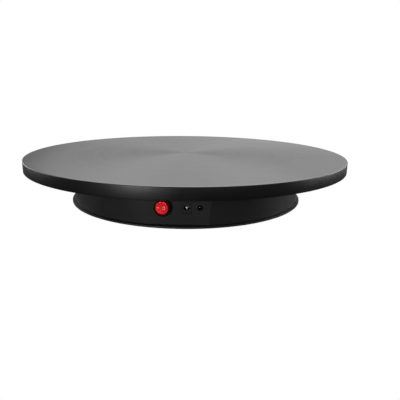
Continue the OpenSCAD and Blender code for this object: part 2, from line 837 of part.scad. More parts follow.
module receiver_board() {
    color("#1d5a34") difference() {
        translate([receiver_x - receiver_w / 2, dome_l - panel_y, controls_z - receiver_w / 2])
            cube([receiver_w, receiver_t, receiver_w]);
        receiver_posts() rod_y(receiver_hole_r, receiver_t + 2 * cut, dome_l - panel_y - cut);
    }
}

module receiver_screws() {
    color("silver") receiver_posts() {
        rod_y(receiver_pilot_r, receiver_screw_l, dome_l + receiver_t - panel_y - receiver_screw_l);
        rod_y(receiver_post_r, receiver_head_h, dome_l + receiver_t - panel_y);
    }
}

// ---- Control board ----

module control_board() {
    color("#1d5a34") difference() {
        translate([-board_w / 2, board_y - board_l / 2, board_z]) cube([board_w, board_l, board_t]);
        board_corners() translate([0, 0, board_z - cut])
            cylinder(r = board_hole_r, h = board_t + 2 * cut);
    }
}

module board_screws() {
    color("silver") board_corners() translate([0, 0, board_z])
        pan_up(board_pilot_r, board_screw_l, board_head_r, board_head_h);
}

// Chip body with its legs as short side plates, hanging from the board's underside
module chip(at, size) {
    w = size[0];
    l = size[1];
    translate([at[0], board_y + at[1], board_z]) {
        translate([-w / 2, -l / 2, -size[2] - chip_gap]) cube(size);
        for (s = [-1, 1]) translate([-w / 2 + leg_in, s * (l / 2 + leg_out) - leg_w / 2, -leg_t])
            cube([w - 2 * leg_in, leg_w, leg_t]);
    }
}

module processor_chip() { color("#17181a") chip(processor_at, processor_size); }
module driver_chip() { color("#17181a") chip(driver_at, driver_size); }

module regulator() {
    color("#202226") translate([regulator_at[0], board_y + regulator_at[1], board_z - regulator_size[2]])
        cube(regulator_size);
}

module capacitor() {
    color("#23307a") translate([capacitor_at[0], board_y + capacitor_at[1], board_z - capacitor_h])
        cylinder(r = capacitor_r, h = capacitor_h);
}

// Plug-in connectors: three on the front edge, one on the right edge
module board_connectors() {
    color("#e9e6da") {
        for (x = [-socket_x, 0, socket_x])
            translate([x - socket_w / 2, board_y - board_l / 2 - socket_out, board_z - socket_h])
                cube([socket_w, socket_h, socket_h]);
        translate([board_w / 2 + socket_out - socket_h, board_y - socket_w / 2, board_z - socket_h])
            cube([socket_h, socket_w, socket_h]);
    }
}

// ---- Geared motor ----

module gearbox_housing() {
    top_z = deck_z - gearbox_lid;
    color("#8d9094") difference() {
        translate([gearbox_x - gearbox_l / 2, motor_y - gearbox_w / 2, gearbox_z])
            cube([gearbox_l, gearbox_w, gearbox_h - gearbox_lid]);
        translate([0, motor_y, gearbox_z + gearbox_floor])
            cylinder(r = shaft_r + running, h = gearbox_h);
        motor_corners() translate([0, 0, top_z - mount_bite])
            cylinder(r = mount_shank_r, h = mount_bite + cut);
        lid_corners() translate([0, 0, top_z - lid_bite])
            cylinder(r = lid_shank_r, h = lid_bite + cut);
    }
}

// Places of the small screws that close the gearbox
module lid_corners() {
    for (x = [-1, 1], y = [-1, 1])
        translate([gearbox_x + x * (gearbox_l / 2 - lid_screw_x),
            motor_y + y * (gearbox_w / 2 - lid_screw_y), 0]) children();
}

module gearbox_cover() {
    lid_z = deck_z - gearbox_lid;
    color("#a4a7ab") difference() {
        translate([gearbox_x - gearbox_l / 2, motor_y - gearbox_w / 2, lid_z])
            cube([gearbox_l, gearbox_w, gearbox_lid]);
        translate([0, motor_y, lid_z - cut]) cylinder(r = bush_r, h = gearbox_lid + 2 * cut);
        motor_corners() translate([0, 0, lid_z - cut])
            cylinder(r = mount_hole_r, h = gearbox_lid + 2 * cut);
        lid_corners() {
            translate([0, 0, lid_z - cut]) cylinder(r = lid_shank_r, h = gearbox_lid + 2 * cut);
            translate([0, 0, deck_z - lid_head_h - lid_sink_h])
                cylinder(r = lid_sink_r, h = lid_head_h + lid_sink_h + cut);
        }
    }
}

module gearbox_screws() {
    color("silver") lid_corners() translate([0, 0, deck_z - lid_head_h - lid_sink_h])
        mirror([0, 0, 1]) pan_up(lid_shank_r, lid_screw_l, lid_head_r, lid_head_h);
}

module motor_screws() {
    color("silver") motor_corners() translate([0, 0, deck_top])
        mirror([0, 0, 1]) countersunk_up(mount_shank_r, mount_screw_l, mount_head_r, mount_head_h);
}

module output_bush() {
    color("#c9a24b") translate([0, motor_y, deck_z - gearbox_lid]) difference() {
        cylinder(r = bush_r, h = gearbox_lid + bush_proud);
        translate([0, 0, -cut]) cylinder(r = shaft_r + running, h = gearbox_lid + bush_proud + 2 * cut);
    }
}

module motor_can() {
    color("#aeb2b6") translate([can_x, motor_y, can_z]) rotate([0, 90, 0])
        cylinder(r = can_r, h = can_l);
}

module motor_end_cap() {
    color("#202124") translate([can_x + can_l, motor_y, can_z]) rotate([0, 90, 0]) {
        cylinder(r = can_r - end_cap_in, h = end_cap_l);
        cylinder(r = end_boss_r, h = end_cap_l + end_boss_l);
    }
}

module motor_terminals() {
    color("#c8a860") for (y = [-motor_tag_y, motor_tag_y])
        translate([can_x + can_l + end_cap_l, motor_y + y - motor_tag[1] / 2, can_z - motor_tag[2] / 2])
            cube(motor_tag);
}

// D-shaped output shaft: round in the bush, flat where the pinion sits
module output_shaft() {
    color("#d0d3d6") translate([0, motor_y, 0]) difference() {
        translate([0, 0, gearbox_z + shaft_end])
            cylinder(r = shaft_r, h = pinion_top - gearbox_z - shaft_end);
        translate([shaft_r - shaft_flat, -shaft_r, pinion_hub_z])
            cube([shaft_flat + cut, 2 * shaft_r, pinion_top]);
    }
}

module pinion() {
    tooth_thick = PI * gear_m / 2 - gear_play / 2;
    color("#e6e2d2") translate([0, motor_y, 0]) difference() {
        union() {
            translate([0, 0, pinion_z]) linear_extrude(pinion_top - pinion_z)
                rotate([0, 0, 90])
                    gear_outline(pinion_teeth, pinion_pitch_r, pinion_tip, tooth_root, tooth_thick, 4);
            translate([0, 0, pinion_hub_z]) cylinder(r = pinion_hub_r, h = pinion_z - pinion_hub_z + weld);
        }
        difference() {
            translate([0, 0, pinion_hub_z - cut]) cylinder(r = shaft_r, h = pinion_top);
            translate([shaft_r - shaft_flat, -shaft_r, pinion_hub_z - 2 * cut])
                cube([shaft_flat + cut, 2 * shaft_r, pinion_top + 2 * cut]);
        }
        translate([shaft_r - shaft_flat - eps, 0, grub_z()]) rotate([0, 90, 0])
            cylinder(r = grub_r, h = pinion_hub_r);
    }
}

function grub_z() = (pinion_hub_z + pinion_z) / 2;

module pinion_grub_screw() {
    color("#3a3c3f") translate([shaft_r - shaft_flat, motor_y, grub_z()])
        rotate([0, 90, 0]) cylinder(r = grub_r, h = grub_l);
}

// ---- Inner leads ----

module jack_lead() { color("#191919") lead(jack_route, 2); }
module switch_lead() { color("#b3191f") lead(switch_route, 2); }
module receiver_lead() { color("#dedede") lead(receiver_route, 2); }
module motor_lead() { color("#b3191f") lead(motor_route, 5); }

platter();
ring_gear();
ring_gear_screws();
spindle();
spindle_screws();
retaining_washer();
retaining_screw();
bearing_inner_race();
bearing_balls();
bearing_cage();
bearing_outer_race();
base_housing();
bottom_plate();
bottom_screws();
foot_1();
foot_2();
foot_3();
foot_4();
foot_5();
foot_6();
roller_axles();
roller_1();
roller_2();
roller_3();
roller_4();
roller_5();
roller_6();
switch_housing();
switch_rocker();
switch_terminals();
jack_body();
jack_pin();
jack_contacts();
receiver_module();
receiver_board();
receiver_screws();
control_board();
processor_chip();
driver_chip();
regulator();
capacitor();
board_connectors();
board_screws();
motor_can();
motor_end_cap();
motor_terminals();
gearbox_housing();
gearbox_cover();
gearbox_screws();
motor_screws();
output_bush();
output_shaft();
pinion();
pinion_grub_screw();
jack_lead();
switch_lead();
receiver_lead();
motor_lead();
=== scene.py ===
"""Looks of a motorised turntable display stand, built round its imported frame.

A round platter with a turned top rides on a low drum. The drum's front facet carries a
round rocker switch, a power jack and a remote receiver; the drive, the bearing and the
electronics sit inside. Sizes in the classes are in millimetres, as a maker gives them,
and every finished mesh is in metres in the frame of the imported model.
"""
import logging
import math
from abc import ABC, abstractmethod
from dataclasses import dataclass, field
from enum import Enum
from typing import Any, Iterable, Optional, Sequence

import bmesh
import bpy
import numpy as np
from mathutils import Matrix, Vector


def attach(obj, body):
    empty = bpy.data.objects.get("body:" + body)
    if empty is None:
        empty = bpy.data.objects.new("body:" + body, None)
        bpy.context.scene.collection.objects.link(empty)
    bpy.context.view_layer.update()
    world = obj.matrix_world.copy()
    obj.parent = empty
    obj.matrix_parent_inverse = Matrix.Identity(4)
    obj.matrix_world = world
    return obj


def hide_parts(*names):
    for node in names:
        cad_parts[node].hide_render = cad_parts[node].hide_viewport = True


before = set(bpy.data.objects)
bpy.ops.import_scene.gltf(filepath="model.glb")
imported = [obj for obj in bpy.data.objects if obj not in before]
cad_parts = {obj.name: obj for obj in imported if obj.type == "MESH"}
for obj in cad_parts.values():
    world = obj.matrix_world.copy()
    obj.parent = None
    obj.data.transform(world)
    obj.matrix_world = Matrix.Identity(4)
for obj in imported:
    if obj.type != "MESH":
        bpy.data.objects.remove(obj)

LOG = logging.getLogger("turntable_stand")
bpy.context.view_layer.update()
MM = 0.001
FULL_TURN = 2 * math.pi
AXIS_X, AXIS_Y, AXIS_Z = (1.0, 0.0, 0.0), (0.0, 1.0, 0.0), (0.0, 0.0, 1.0)
WELD = 2e-6  # metres between points that are one
SLIVER = 1e-6  # metres below which an edge is nothing


class Body(str, Enum):
    """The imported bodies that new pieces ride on."""

    BASE = "base"
    PLATTER = "platter"
    PINION = "pinion_shaft"
    CAGE = "bearing_cage"
    ROCKER = "rocker"


class Weave(Enum):
    """How many strands a lead is twisted from."""

    PAIR = 2
    TRIPLE = 3


# ---------------------------------------------------------------- curves and surfaces


def unit(vectors: np.ndarray) -> np.ndarray:
    """Returns the vectors, given along the last axis, at length one."""
    return vectors / np.maximum(np.linalg.norm(vectors, axis=-1, keepdims=True), 1e-12)


def rounded(corners: Sequence[Sequence[float]], steps: int = 5) -> np.ndarray:
    """Rounds the corners of a closed outline.

    Each corner is cut back along both its sides by radius / tan(half its angle), and an arc
    about the point that lies radius away from both sides joins the two cuts.

    Args:
        corners: Rows of (across, up, radius) in order round the outline.
        steps: Points on each corner's arc.

    Returns:
        The outline as rows of (across, up).
    """
    rows = np.asarray(corners, float)
    here = rows[:, :2]
    radius = np.maximum(rows[:, 2], 1e-4)[:, None]
    back = unit(np.roll(here, 1, 0) - here)
    ahead = unit(np.roll(here, -1, 0) - here)
    half = np.arccos(np.clip((back * ahead).sum(1), -1, 1))[:, None] / 2
    centre = here + unit(back + ahead) * radius / np.sin(half)
    first = unit(here + back * radius / np.tan(half) - centre)
    last = unit(here + ahead * radius / np.tan(half) - centre)
    sweep = (math.pi - 2 * half)[:, :, None]
    way = np.linspace(0, 1, steps)[None, :, None]
    arc = (np.sin((1 - way) * sweep) * first[:, None] + np.sin(way * sweep) * last[:, None])
    return (centre[:, None] + radius[:, :, None] * arc / np.sin(sweep)).reshape(-1, 2)


def rounded_box(width: float, height: float, radius: float, steps: int = 5) -> np.ndarray:
    """Draws a rectangle about the origin with all four corners rounded.

    Args:
        width: Its size across.
        height: Its size up.
        radius: Radius of each corner.
        steps: Points on each corner's arc.

    Returns:
        The outline as rows of (across, up).
    """
    w, h = width / 2, height / 2
    corners = [(w, -h, radius), (w, h, radius), (-w, h, radius), (-w, -h, radius)]
    return rounded(corners, steps)


def circle(radius: float, sides: int = 48) -> np.ndarray:
    """Returns a circle about the origin as points (r cos t, r sin t)."""
    turn = np.linspace(0, FULL_TURN, sides, endpoint=False)
    return radius * np.stack([np.cos(turn), np.sin(turn)], 1)


def revolved(profile: np.ndarray, steps: int) -> np.ndarray:
    """Carries a profile round the local z axis: x = r cos t, y = r sin t, z = height.

    Args:
        profile: Rows of (radius, height).
        steps: Positions of the profile in a full turn.

    Returns:
        A steps x rows x 3 grid that closes on itself in its first direction.
    """
    turn = np.linspace(0, FULL_TURN, steps, endpoint=False)
    flat = np.broadcast_to(profile[:, 1], (steps, len(profile)))
    return np.stack([np.outer(np.cos(turn), profile[:, 0]),
                     np.outer(np.sin(turn), profile[:, 0]), flat], -1)


def lofted(outline: np.ndarray, section: Sequence[Sequence[float]]) -> np.ndarray:
    """Carries an outline up through a section of insets and heights, closed at both ends.

    Each point moves inwards along the outline's own normal by the section's inset, and up
    by its height. The first and last rows shrink to the outline's centre.

    Args:
        outline: Rows of (across, up), anticlockwise.
        section: Rows of (inset, height) from one end to the other.

    Returns:
        A (rows + 2) x points x 3 grid that closes on itself in its second direction.
    """
    ahead = unit(np.roll(outline, -1, 0) - outline) + unit(outline - np.roll(outline, 1, 0))
    normal = unit(np.stack([ahead[:, 1], -ahead[:, 0]], 1))
    steps = np.asarray(section, float)
    ring = outline[None] - steps[:, :1, None] * normal[None]
    level = np.broadcast_to(steps[:, 1, None, None], ring.shape[:2] + (1,))
    wall = np.concatenate([ring, level], -1)
    middle = np.broadcast_to(wall.mean(1, keepdims=True), wall.shape)
    return np.concatenate([middle[:1], wall, middle[-1:]])


def smooth_route(points: Sequence[Sequence[float]], steps: int) -> np.ndarray:
    """Draws a cubic curve through given points, with each slope shared by its neighbours.

    Args:
        points: Rows of (x, y, z).
        steps: Points drawn in each span.

    Returns:
        The curve as rows of (x, y, z).
    """
    p = np.asarray(points, float)
    a, b, c, d = p[np.r_[0, 0:len(p) - 2]], p[:-1], p[1:], p[np.r_[2:len(p), len(p) - 1]]
    t = np.linspace(0, 1, steps, endpoint=False)[None, :, None]
    a, b, c, d = (q[:, None] for q in (a, b, c, d))
    bend = t * (a - 2.5 * b + 2 * c - d / 2 + t * (1.5 * (b - c) + (d - a) / 2))
    return np.concatenate([(b + t * ((c - a) / 2 + bend)).reshape(-1, 3), p[-1:]])


def swept(route: np.ndarray, section: np.ndarray, lean: Sequence[float]) -> np.ndarray:
    """Carries a flat section along a route, square to it, and closes both its ends.

    The section's across direction is the cross product of the route's direction and a
    fixed lean, and its up direction is square to both.

    Args:
        route: Rows of (x, y, z).
        section: Rows of (across, up).
        lean: A direction that the route never runs along.

    Returns:
        A (rows + 2) x points x 3 grid that closes on itself in its second direction.
    """
    along = unit(np.gradient(route, axis=0))
    across = unit(np.cross(along, np.asarray(lean, float)))
    up = np.cross(across, along)
    wall = (route[:, None] + section[None, :, :1] * across[:, None]
            + section[None, :, 1:] * up[:, None])
    ends = np.broadcast_to(route[[0, -1], None], (2, len(section), 3))
    return np.concatenate([ends[:1], wall, ends[1:]])


@dataclass(frozen=True)
class Place:
    """Where a piece's own axes stand in the frame.

    Attributes:
        origin: The place of its zero point, in millimetres.
        across: The direction of its first axis.
        up: The direction of its second axis. The third is their cross product.
    """

    origin: tuple[float, float, float] = (0.0, 0.0, 0.0)
    across: tuple[float, float, float] = AXIS_X
    up: tuple[float, float, float] = AXIS_Y

    def put(self, points: np.ndarray) -> np.ndarray:
        """Moves points from the piece's own axes into the frame.

        Args:
            points: Rows of (across, up, out) in millimetres.

        Returns:
            The same points as rows of (x, y, z).
        """
        across, up = np.asarray(self.across, float), np.asarray(self.up, float)
        axes = np.stack([across, up, np.cross(across, up)])
        return points @ axes + np.asarray(self.origin, float)

    def moved(self, across: float, up: float, out: float = 0.0) -> "Place":
        """Returns the same axes with the zero point moved along them."""
        origin = self.put(np.array([across, up, out], float))
        return Place(tuple(origin), self.across, self.up)


FLOOR = Place()


def placed(name: str, data: bpy.types.ID) -> bpy.types.Object:
    """Makes an object of a mesh, a lamp or a lens, and puts it in the scene.

    Args:
        name: The object's name.
        data: Its mesh, lamp or lens.

    Returns:
        The new object.
    """
    made = bpy.data.objects.new(name, data)
    bpy.context.scene.collection.objects.link(made)
    return made


class Shell:
    """One piece's mesh, gathered from grids of points and closed into an object.

    Attributes:
        name: The piece's name.
    """

    def __init__(self, name: str) -> None:
        """Starts an empty mesh with this name.

        Args:
            name: The piece's name.
        """
        self.name = name
        self._points: list[np.ndarray] = []
        self._faces: list[np.ndarray] = []
        self._finish: list[np.ndarray] = []
        self._count = 0

    def grid(self, points: np.ndarray, place: Place = FLOOR, loop_rows: bool = False,
             loop_columns: bool = False, finish: int = 0) -> "Shell":
        """Adds a grid: each face joins rows i and i + 1 with columns j and j + 1.

        Args:
            points: A rows x columns x 3 grid in millimetres.
            place: Where the grid's axes stand.
            loop_rows: Whether the last row joins the first.
            loop_columns: Whether the last column joins the first.
            finish: Index of the material that the faces take.

        Returns:
            The shell itself, so that calls can follow each other.
        """
        rows, columns = points.shape[:2]
        index = np.arange(rows * columns).reshape(rows, columns) + self._count
        index = np.vstack([index, index[:1]]) if loop_rows else index
        index = np.hstack([index, index[:, :1]]) if loop_columns else index
        quads = np.stack([index[:-1, :-1], index[1:, :-1], index[1:, 1:], index[:-1, 1:]], -1)
        self._points.append(place.put(points.reshape(-1, 3)) * MM)
        self._faces.append(quads.reshape(-1, 4))
        self._finish.append(np.full(quads.size // 4, finish))
        self._count += rows * columns
        return self

    def turned(self, profile: np.ndarray, place: Place = FLOOR, steps: int = 64,
               closed: bool = False, finish: int = 0) -> "Shell":
        """Adds a profile of (radius, height) carried round its place's third axis."""
        return self.grid(revolved(profile, steps), place, True, closed, finish)

    def block(self, outline: np.ndarray, section: Sequence[Sequence[float]],
              place: Place = FLOOR, finish: int = 0) -> "Shell":
        """Adds an outline carried through a section of (inset, height)."""
        return self.grid(lofted(outline, section), place, False, True, finish)

    def strip(self, route: np.ndarray, section: np.ndarray, lean: Sequence[float],
              place: Place = FLOOR, finish: int = 0) -> "Shell":
        """Adds a section carried along a route."""
        return self.grid(swept(route, section, lean), place, False, True, finish)

    def build(self, finishes: Sequence["Finish"], sharp: float = 32.0) -> bpy.types.Object:
        """Welds the grids, turns every face outwards and makes the object.

        Args:
            finishes: The finish for each index that the grids used.
            sharp: Angle in degrees past which an edge stays crisp.

        Returns:
            The new object, at the frame's origin.
        """
        mesh = bpy.data.meshes.new(self.name)
        mesh.from_pydata(np.concatenate(self._points), [], np.concatenate(self._faces))
        mesh.polygons.foreach_set("material_index", np.concatenate(self._finish))
        work = bmesh.new()
        work.from_mesh(mesh)
        bmesh.ops.remove_doubles(work, verts=work.verts, dist=WELD)
        bmesh.ops.dissolve_degenerate(work, edges=work.edges, dist=SLIVER)
        bmesh.ops.recalc_face_normals(work, faces=work.faces)
        work.to_mesh(mesh)
        work.free()
        mesh.polygons.foreach_set("use_smooth", np.ones(len(mesh.polygons), bool))
        mesh.set_sharp_from_angle(angle=math.radians(sharp))
        for finish in finishes:
            mesh.materials.append(finish.material())
        return placed(self.name, mesh)


# ------------------------------------------------------------------------ shader graphs


def grey(value: float) -> tuple[float, float, float, float]:
    """Returns a neutral colour of this linear value."""
    return (value, value, value, 1.0)


class Graph:
    """Adds and joins nodes in one shader tree."""

    def __init__(self, tree: bpy.types.NodeTree) -> None:
        """Takes the tree that the nodes go into."""
        self.tree = tree

    @classmethod
    def fresh(cls, owner: Any) -> "Graph":
        """Empties the graph of a material or of a world.

        Args:
            owner: The material or the world.

        Returns:
            Its graph, with nothing in it.
        """
        owner.use_nodes = True
        owner.node_tree.nodes.clear()
        return cls(owner.node_tree)

    def node(self, kind: str, inputs: Optional[dict[Any, Any]] = None,
             **settings: Any) -> bpy.types.Node:
        """Adds a node, sets its settings and fills its inputs.

        Args:
            kind: The node's type without its ShaderNode prefix.
            inputs: Input name or index to a value or an output socket.
            **settings: The node's own properties.

        Returns:
            The new node.
        """
        made = self.tree.nodes.new("ShaderNode" + kind)
        for key, value in settings.items():
            setattr(made, key, value)
        for key, value in (inputs or {}).items():
            if isinstance(value, bpy.types.NodeSocket):
                self.tree.links.new(value, made.inputs[key])
            else:
                made.inputs[key].default_value = value
        return made

    def effect(self, kind: "type[Effect]", **inputs: Any) -> Any:
        """Places a shared effect with its own values and returns its outputs."""
        return self.node("Group", inputs, node_tree=kind.tree()).outputs

    def math(self, operation: str, a: Any, b: Any = 0.0) -> bpy.types.NodeSocket:
        """Returns the result of one arithmetic step on two values."""
        return self.node("Math", {0: a, 1: b}, operation=operation).outputs[0]

    def product(self, first: Any, second: Any) -> bpy.types.NodeSocket:
        """Returns two values multiplied."""
        return self.math("MULTIPLY", first, second)

    def plus(self, base: Any, value: Any, share: float) -> bpy.types.NodeSocket:
        """Returns a base with a share of another value added to it."""
        return self.math("ADD", base, self.product(value, share))

    def remap(self, value: Any, low: float, high: float, out_low: float = 0.0,
              out_high: float = 1.0) -> bpy.types.NodeSocket:
        """Takes a value smoothly from one range to another, held at its ends.

        Args:
            value: The value.
            low: Start of its range.
            high: End of its range.
            out_low: Start of the new range.
            out_high: End of the new range.

        Returns:
            The value in its new range.
        """
        made = self.node("MapRange", {0: value, 1: low, 2: high, 3: out_low, 4: out_high},
                         interpolation_type="SMOOTHSTEP")
        return made.outputs[0]

    def blend(self, share: Any, first: Any, second: Any) -> bpy.types.NodeSocket:
        """Returns a colour between two colours."""
        made = self.node("Mix", {0: share, 6: first, 7: second}, data_type="RGBA")
        return made.outputs[2]

    def noise(self, vector: Any, scale: float, detail: float = 3.0, rough: float = 0.55,
              twist: float = 0.0) -> bpy.types.NodeSocket:
        """Adds fractal noise at a point.

        Args:
            vector: The point.
            scale: Lumps to a unit of length.
            detail: Number of finer layers.
            rough: Strength of each finer layer against the one before.
            twist: How far the noise warps itself.

        Returns:
            The noise, between zero and one.
        """
        made = self.node("TexNoise", {"Vector": vector, "Scale": scale, "Detail": detail,
                                      "Roughness": rough, "Distortion": twist})
        return made.outputs[0]

    def scaled(self, vector: Any, by: Any) -> bpy.types.NodeSocket:
        """Returns a vector made longer or shorter."""
        return self.node("VectorMath", {0: vector, "Scale": by}, operation="SCALE").outputs[0]

    def stretched(self, vector: Any, turn: Sequence[float],
                  by: Sequence[float]) -> bpy.types.NodeSocket:
        """Returns a point stretched along each axis and then turned."""
        return self.node("Mapping", {0: vector, 2: turn, 3: by}).outputs[0]


class Effect(ABC):
    """A surface effect shared by several materials, kept as one node group.

    Attributes:
        NAME: The group's name.
        INPUTS: Name and kind of each input.
        OUTPUTS: Names of the outputs, which are all plain values.
    """

    NAME: str = ""
    INPUTS: dict[str, str] = {}
    OUTPUTS: tuple[str, ...] = ()

    @classmethod
    def tree(cls) -> bpy.types.NodeTree:
        """Builds the group the first time that it is asked for.

        Returns:
            The group's tree.
        """
        if cls.NAME in bpy.data.node_groups:
            return bpy.data.node_groups[cls.NAME]
        tree = bpy.data.node_groups.new(cls.NAME, "ShaderNodeTree")
        for way, sockets in (("INPUT", cls.INPUTS), ("OUTPUT", dict.fromkeys(cls.OUTPUTS, "Float"))):
            for name, kind in sockets.items():
                tree.interface.new_socket(name=name, in_out=way, socket_type="NodeSocket" + kind)
        source = tree.nodes.new("NodeGroupInput")
        target = tree.nodes.new("NodeGroupOutput")
        for name, value in cls.wire(Graph(tree), source.outputs).items():
            tree.links.new(value, target.inputs[name])
        return tree

    @classmethod
    @abstractmethod
    def wire(cls, graph: Graph, given: Any) -> dict[str, bpy.types.NodeSocket]:
        """Adds the effect's nodes.

        Args:
            graph: The group's own graph.
            given: The group's inputs, by name.

        Returns:
            The socket for each output, by name.
        """


class MouldGrain(Effect):
    """Fine spark-eroded texture of a mould, with a slow unevenness under it.

    Attributes:
        PITS: Noise scale of the fine pits, per metre, as every noise scale is.
        DIMPLES: Noise scale of the wider dimples.
        PATCHES: Noise scale of the slow unevenness.
    """

    NAME = "mould_grain"
    INPUTS = {"Vector": "Vector", "Fineness": "Float"}
    OUTPUTS = ("Height", "Mottle")
    PITS: float = 2600.0
    DIMPLES: float = 900.0
    PATCHES: float = 38.0

    @classmethod
    def wire(cls, graph: Graph, given: Any) -> dict[str, bpy.types.NodeSocket]:
        """Adds pits at two sizes for the height and slow noise for the mottle.

        Args:
            graph: The group's own graph.
            given: The group's inputs, by name.

        Returns:
            The socket for each output, by name.
        """
        near = graph.scaled(given["Vector"], given["Fineness"])
        pits = graph.noise(near, cls.PITS, 2.0, 0.6)
        dimples = graph.noise(near, cls.DIMPLES, 1.0, 0.5)
        patches = graph.noise(given["Vector"], cls.PATCHES, 4.0, 0.6, 0.4)
        return {"Height": graph.plus(graph.product(pits, 0.65), dimples, 0.35),
                "Mottle": graph.remap(patches, 0.3, 0.7)}


class TurnedRings(Effect):
    """Concentric lines left by turning: noise along the radius, nearly even round the axis.

    Attributes:
        DRIFT: How far the noise moves on over a turn, so that no ring is quite even.
        BANDS: Scale of the broad bands, as a share of the fine lines' own.
    """

    NAME = "turned_rings"
    INPUTS = {"Vector": "Vector", "Pitch": "Float"}
    OUTPUTS = ("Height", "Streak")
    DRIFT: float = 0.35
    BANDS: float = 0.045

    @classmethod
    def wire(cls, graph: Graph, given: Any) -> dict[str, bpy.types.NodeSocket]:
        """Samples noise at (radius x pitch, a slow turn, 0).

        Args:
            graph: The group's own graph.
            given: The group's inputs, by name.

        Returns:
            The socket for each output, by name.
        """
        split = graph.node("SeparateXYZ", {0: given["Vector"]}).outputs
        flat = graph.node("CombineXYZ", {0: split[0], 1: split[1]}).outputs[0]
        radius = graph.node("VectorMath", {0: flat}, operation="LENGTH").outputs["Value"]
        facing = graph.node("VectorMath", {0: flat}, operation="NORMALIZE").outputs[0]
        lift = graph.node("CombineXYZ", {2: graph.product(radius, given["Pitch"])}).outputs[0]
        at = graph.node("VectorMath", {0: graph.scaled(facing, cls.DRIFT), 1: lift},
                        operation="ADD").outputs[0]
        fine = graph.noise(at, 1.0, 3.0, 0.7)
        broad = graph.noise(at, cls.BANDS, 3.0, 0.6)
        return {"Height": graph.plus(graph.product(fine, 0.8), broad, 0.2),
                "Streak": graph.remap(broad, 0.32, 0.68)}


class Handling(Effect):
    """Faint smears left by hands: long soft patches crossed by short rubbed marks.

    Attributes:
        SMEARS: Noise scale of the smears.
        RUBS: How far the noise of the rubs is stretched along each axis.
    """

    NAME = "handling"
    INPUTS = {"Vector": "Vector", "Spread": "Float"}
    OUTPUTS = ("Smear", "Rub")
    SMEARS: float = 9.0
    RUBS: tuple[float, float, float] = (40.0, 900.0, 260.0)

    @classmethod
    def wire(cls, graph: Graph, given: Any) -> dict[str, bpy.types.NodeSocket]:
        """Stretches slow noise for the smears and thin noise for the rubs.

        Args:
            graph: The group's own graph.
            given: The group's inputs, by name.

        Returns:
            The socket for each output, by name.
        """
        at = graph.scaled(given["Vector"], given["Spread"])
        patch = graph.remap(graph.noise(at, cls.SMEARS, 3.0, 0.5, 1.6), 0.48, 0.72)
        thin = graph.noise(graph.stretched(at, (0.2, 0.1, 0.7), cls.RUBS), 1.0, 2.0, 0.5)
        return {"Smear": patch, "Rub": graph.product(graph.remap(thin, 0.66, 0.78), patch)}


class Dust(Effect):
    """Specks and a thin veil that settle where a surface faces up.

    Attributes:
        SPECKS: Noise scale of the specks.
        CLOUDS: Noise scale of the veil.
        VEIL: The veil's greatest share of the colour.
    """

    NAME = "dust"
    INPUTS = {"Vector": "Vector", "Normal": "Vector", "Amount": "Float"}
    OUTPUTS = ("Mask",)
    SPECKS: float = 1500.0
    CLOUDS: float = 26.0
    VEIL: float = 0.06

    @classmethod
    def wire(cls, graph: Graph, given: Any) -> dict[str, bpy.types.NodeSocket]:
        """Keeps small noise peaks, and a little veil, in step with the upward facing.

        Args:
            graph: The group's own graph.
            given: The group's inputs, by name.

        Returns:
            The socket for each output, by name.
        """
        up = graph.math("MAXIMUM", graph.node("SeparateXYZ", {0: given["Normal"]}).outputs[2])
        specks = graph.remap(graph.noise(given["Vector"], cls.SPECKS, 1.0, 0.5), 0.72, 0.8)
        clouds = graph.noise(given["Vector"], cls.CLOUDS, 4.0, 0.6)
        both = graph.math("MAXIMUM", specks, graph.remap(clouds, 0.4, 0.8, 0.0, cls.VEIL))
        return {"Mask": graph.product(graph.product(both, up), given["Amount"])}


class Scratches(Effect):
    """Fine crossed hairlines on machined metal.

    Attributes:
        FIRST: How far the noise of one set of lines is stretched along each axis.
        SECOND: The same for the set that crosses it.
        PATCHES: Noise scale of the tarnish.
    """

    NAME = "scratches"
    INPUTS = {"Vector": "Vector", "Scale": "Float"}
    OUTPUTS = ("Height", "Tarnish")
    FIRST: tuple[float, float, float] = (120.0, 2600.0, 1500.0)
    SECOND: tuple[float, float, float] = (2200.0, 160.0, 1900.0)
    PATCHES: float = 150.0

    @classmethod
    def wire(cls, graph: Graph, given: Any) -> dict[str, bpy.types.NodeSocket]:
        """Adds two stretched noises at different angles, and patches of tarnish.

        Args:
            graph: The group's own graph.
            given: The group's inputs, by name.

        Returns:
            The socket for each output, by name.
        """
        at = given["Vector"]
        first = graph.noise(graph.stretched(at, (0.3, 0.2, 0.5), cls.FIRST), 1.0, 2.0, 0.6)
        second = graph.noise(graph.stretched(at, (0.7, 0.1, -0.4), cls.SECOND), 1.0, 2.0, 0.6)
        tarnish = graph.remap(graph.noise(at, cls.PATCHES, 4.0, 0.6, 0.6), 0.42, 0.75)
        return {"Height": graph.math("ADD", first, second),
                "Tarnish": graph.product(tarnish, given["Scale"])}


# ---------------------------------------------------------------------------- finishes


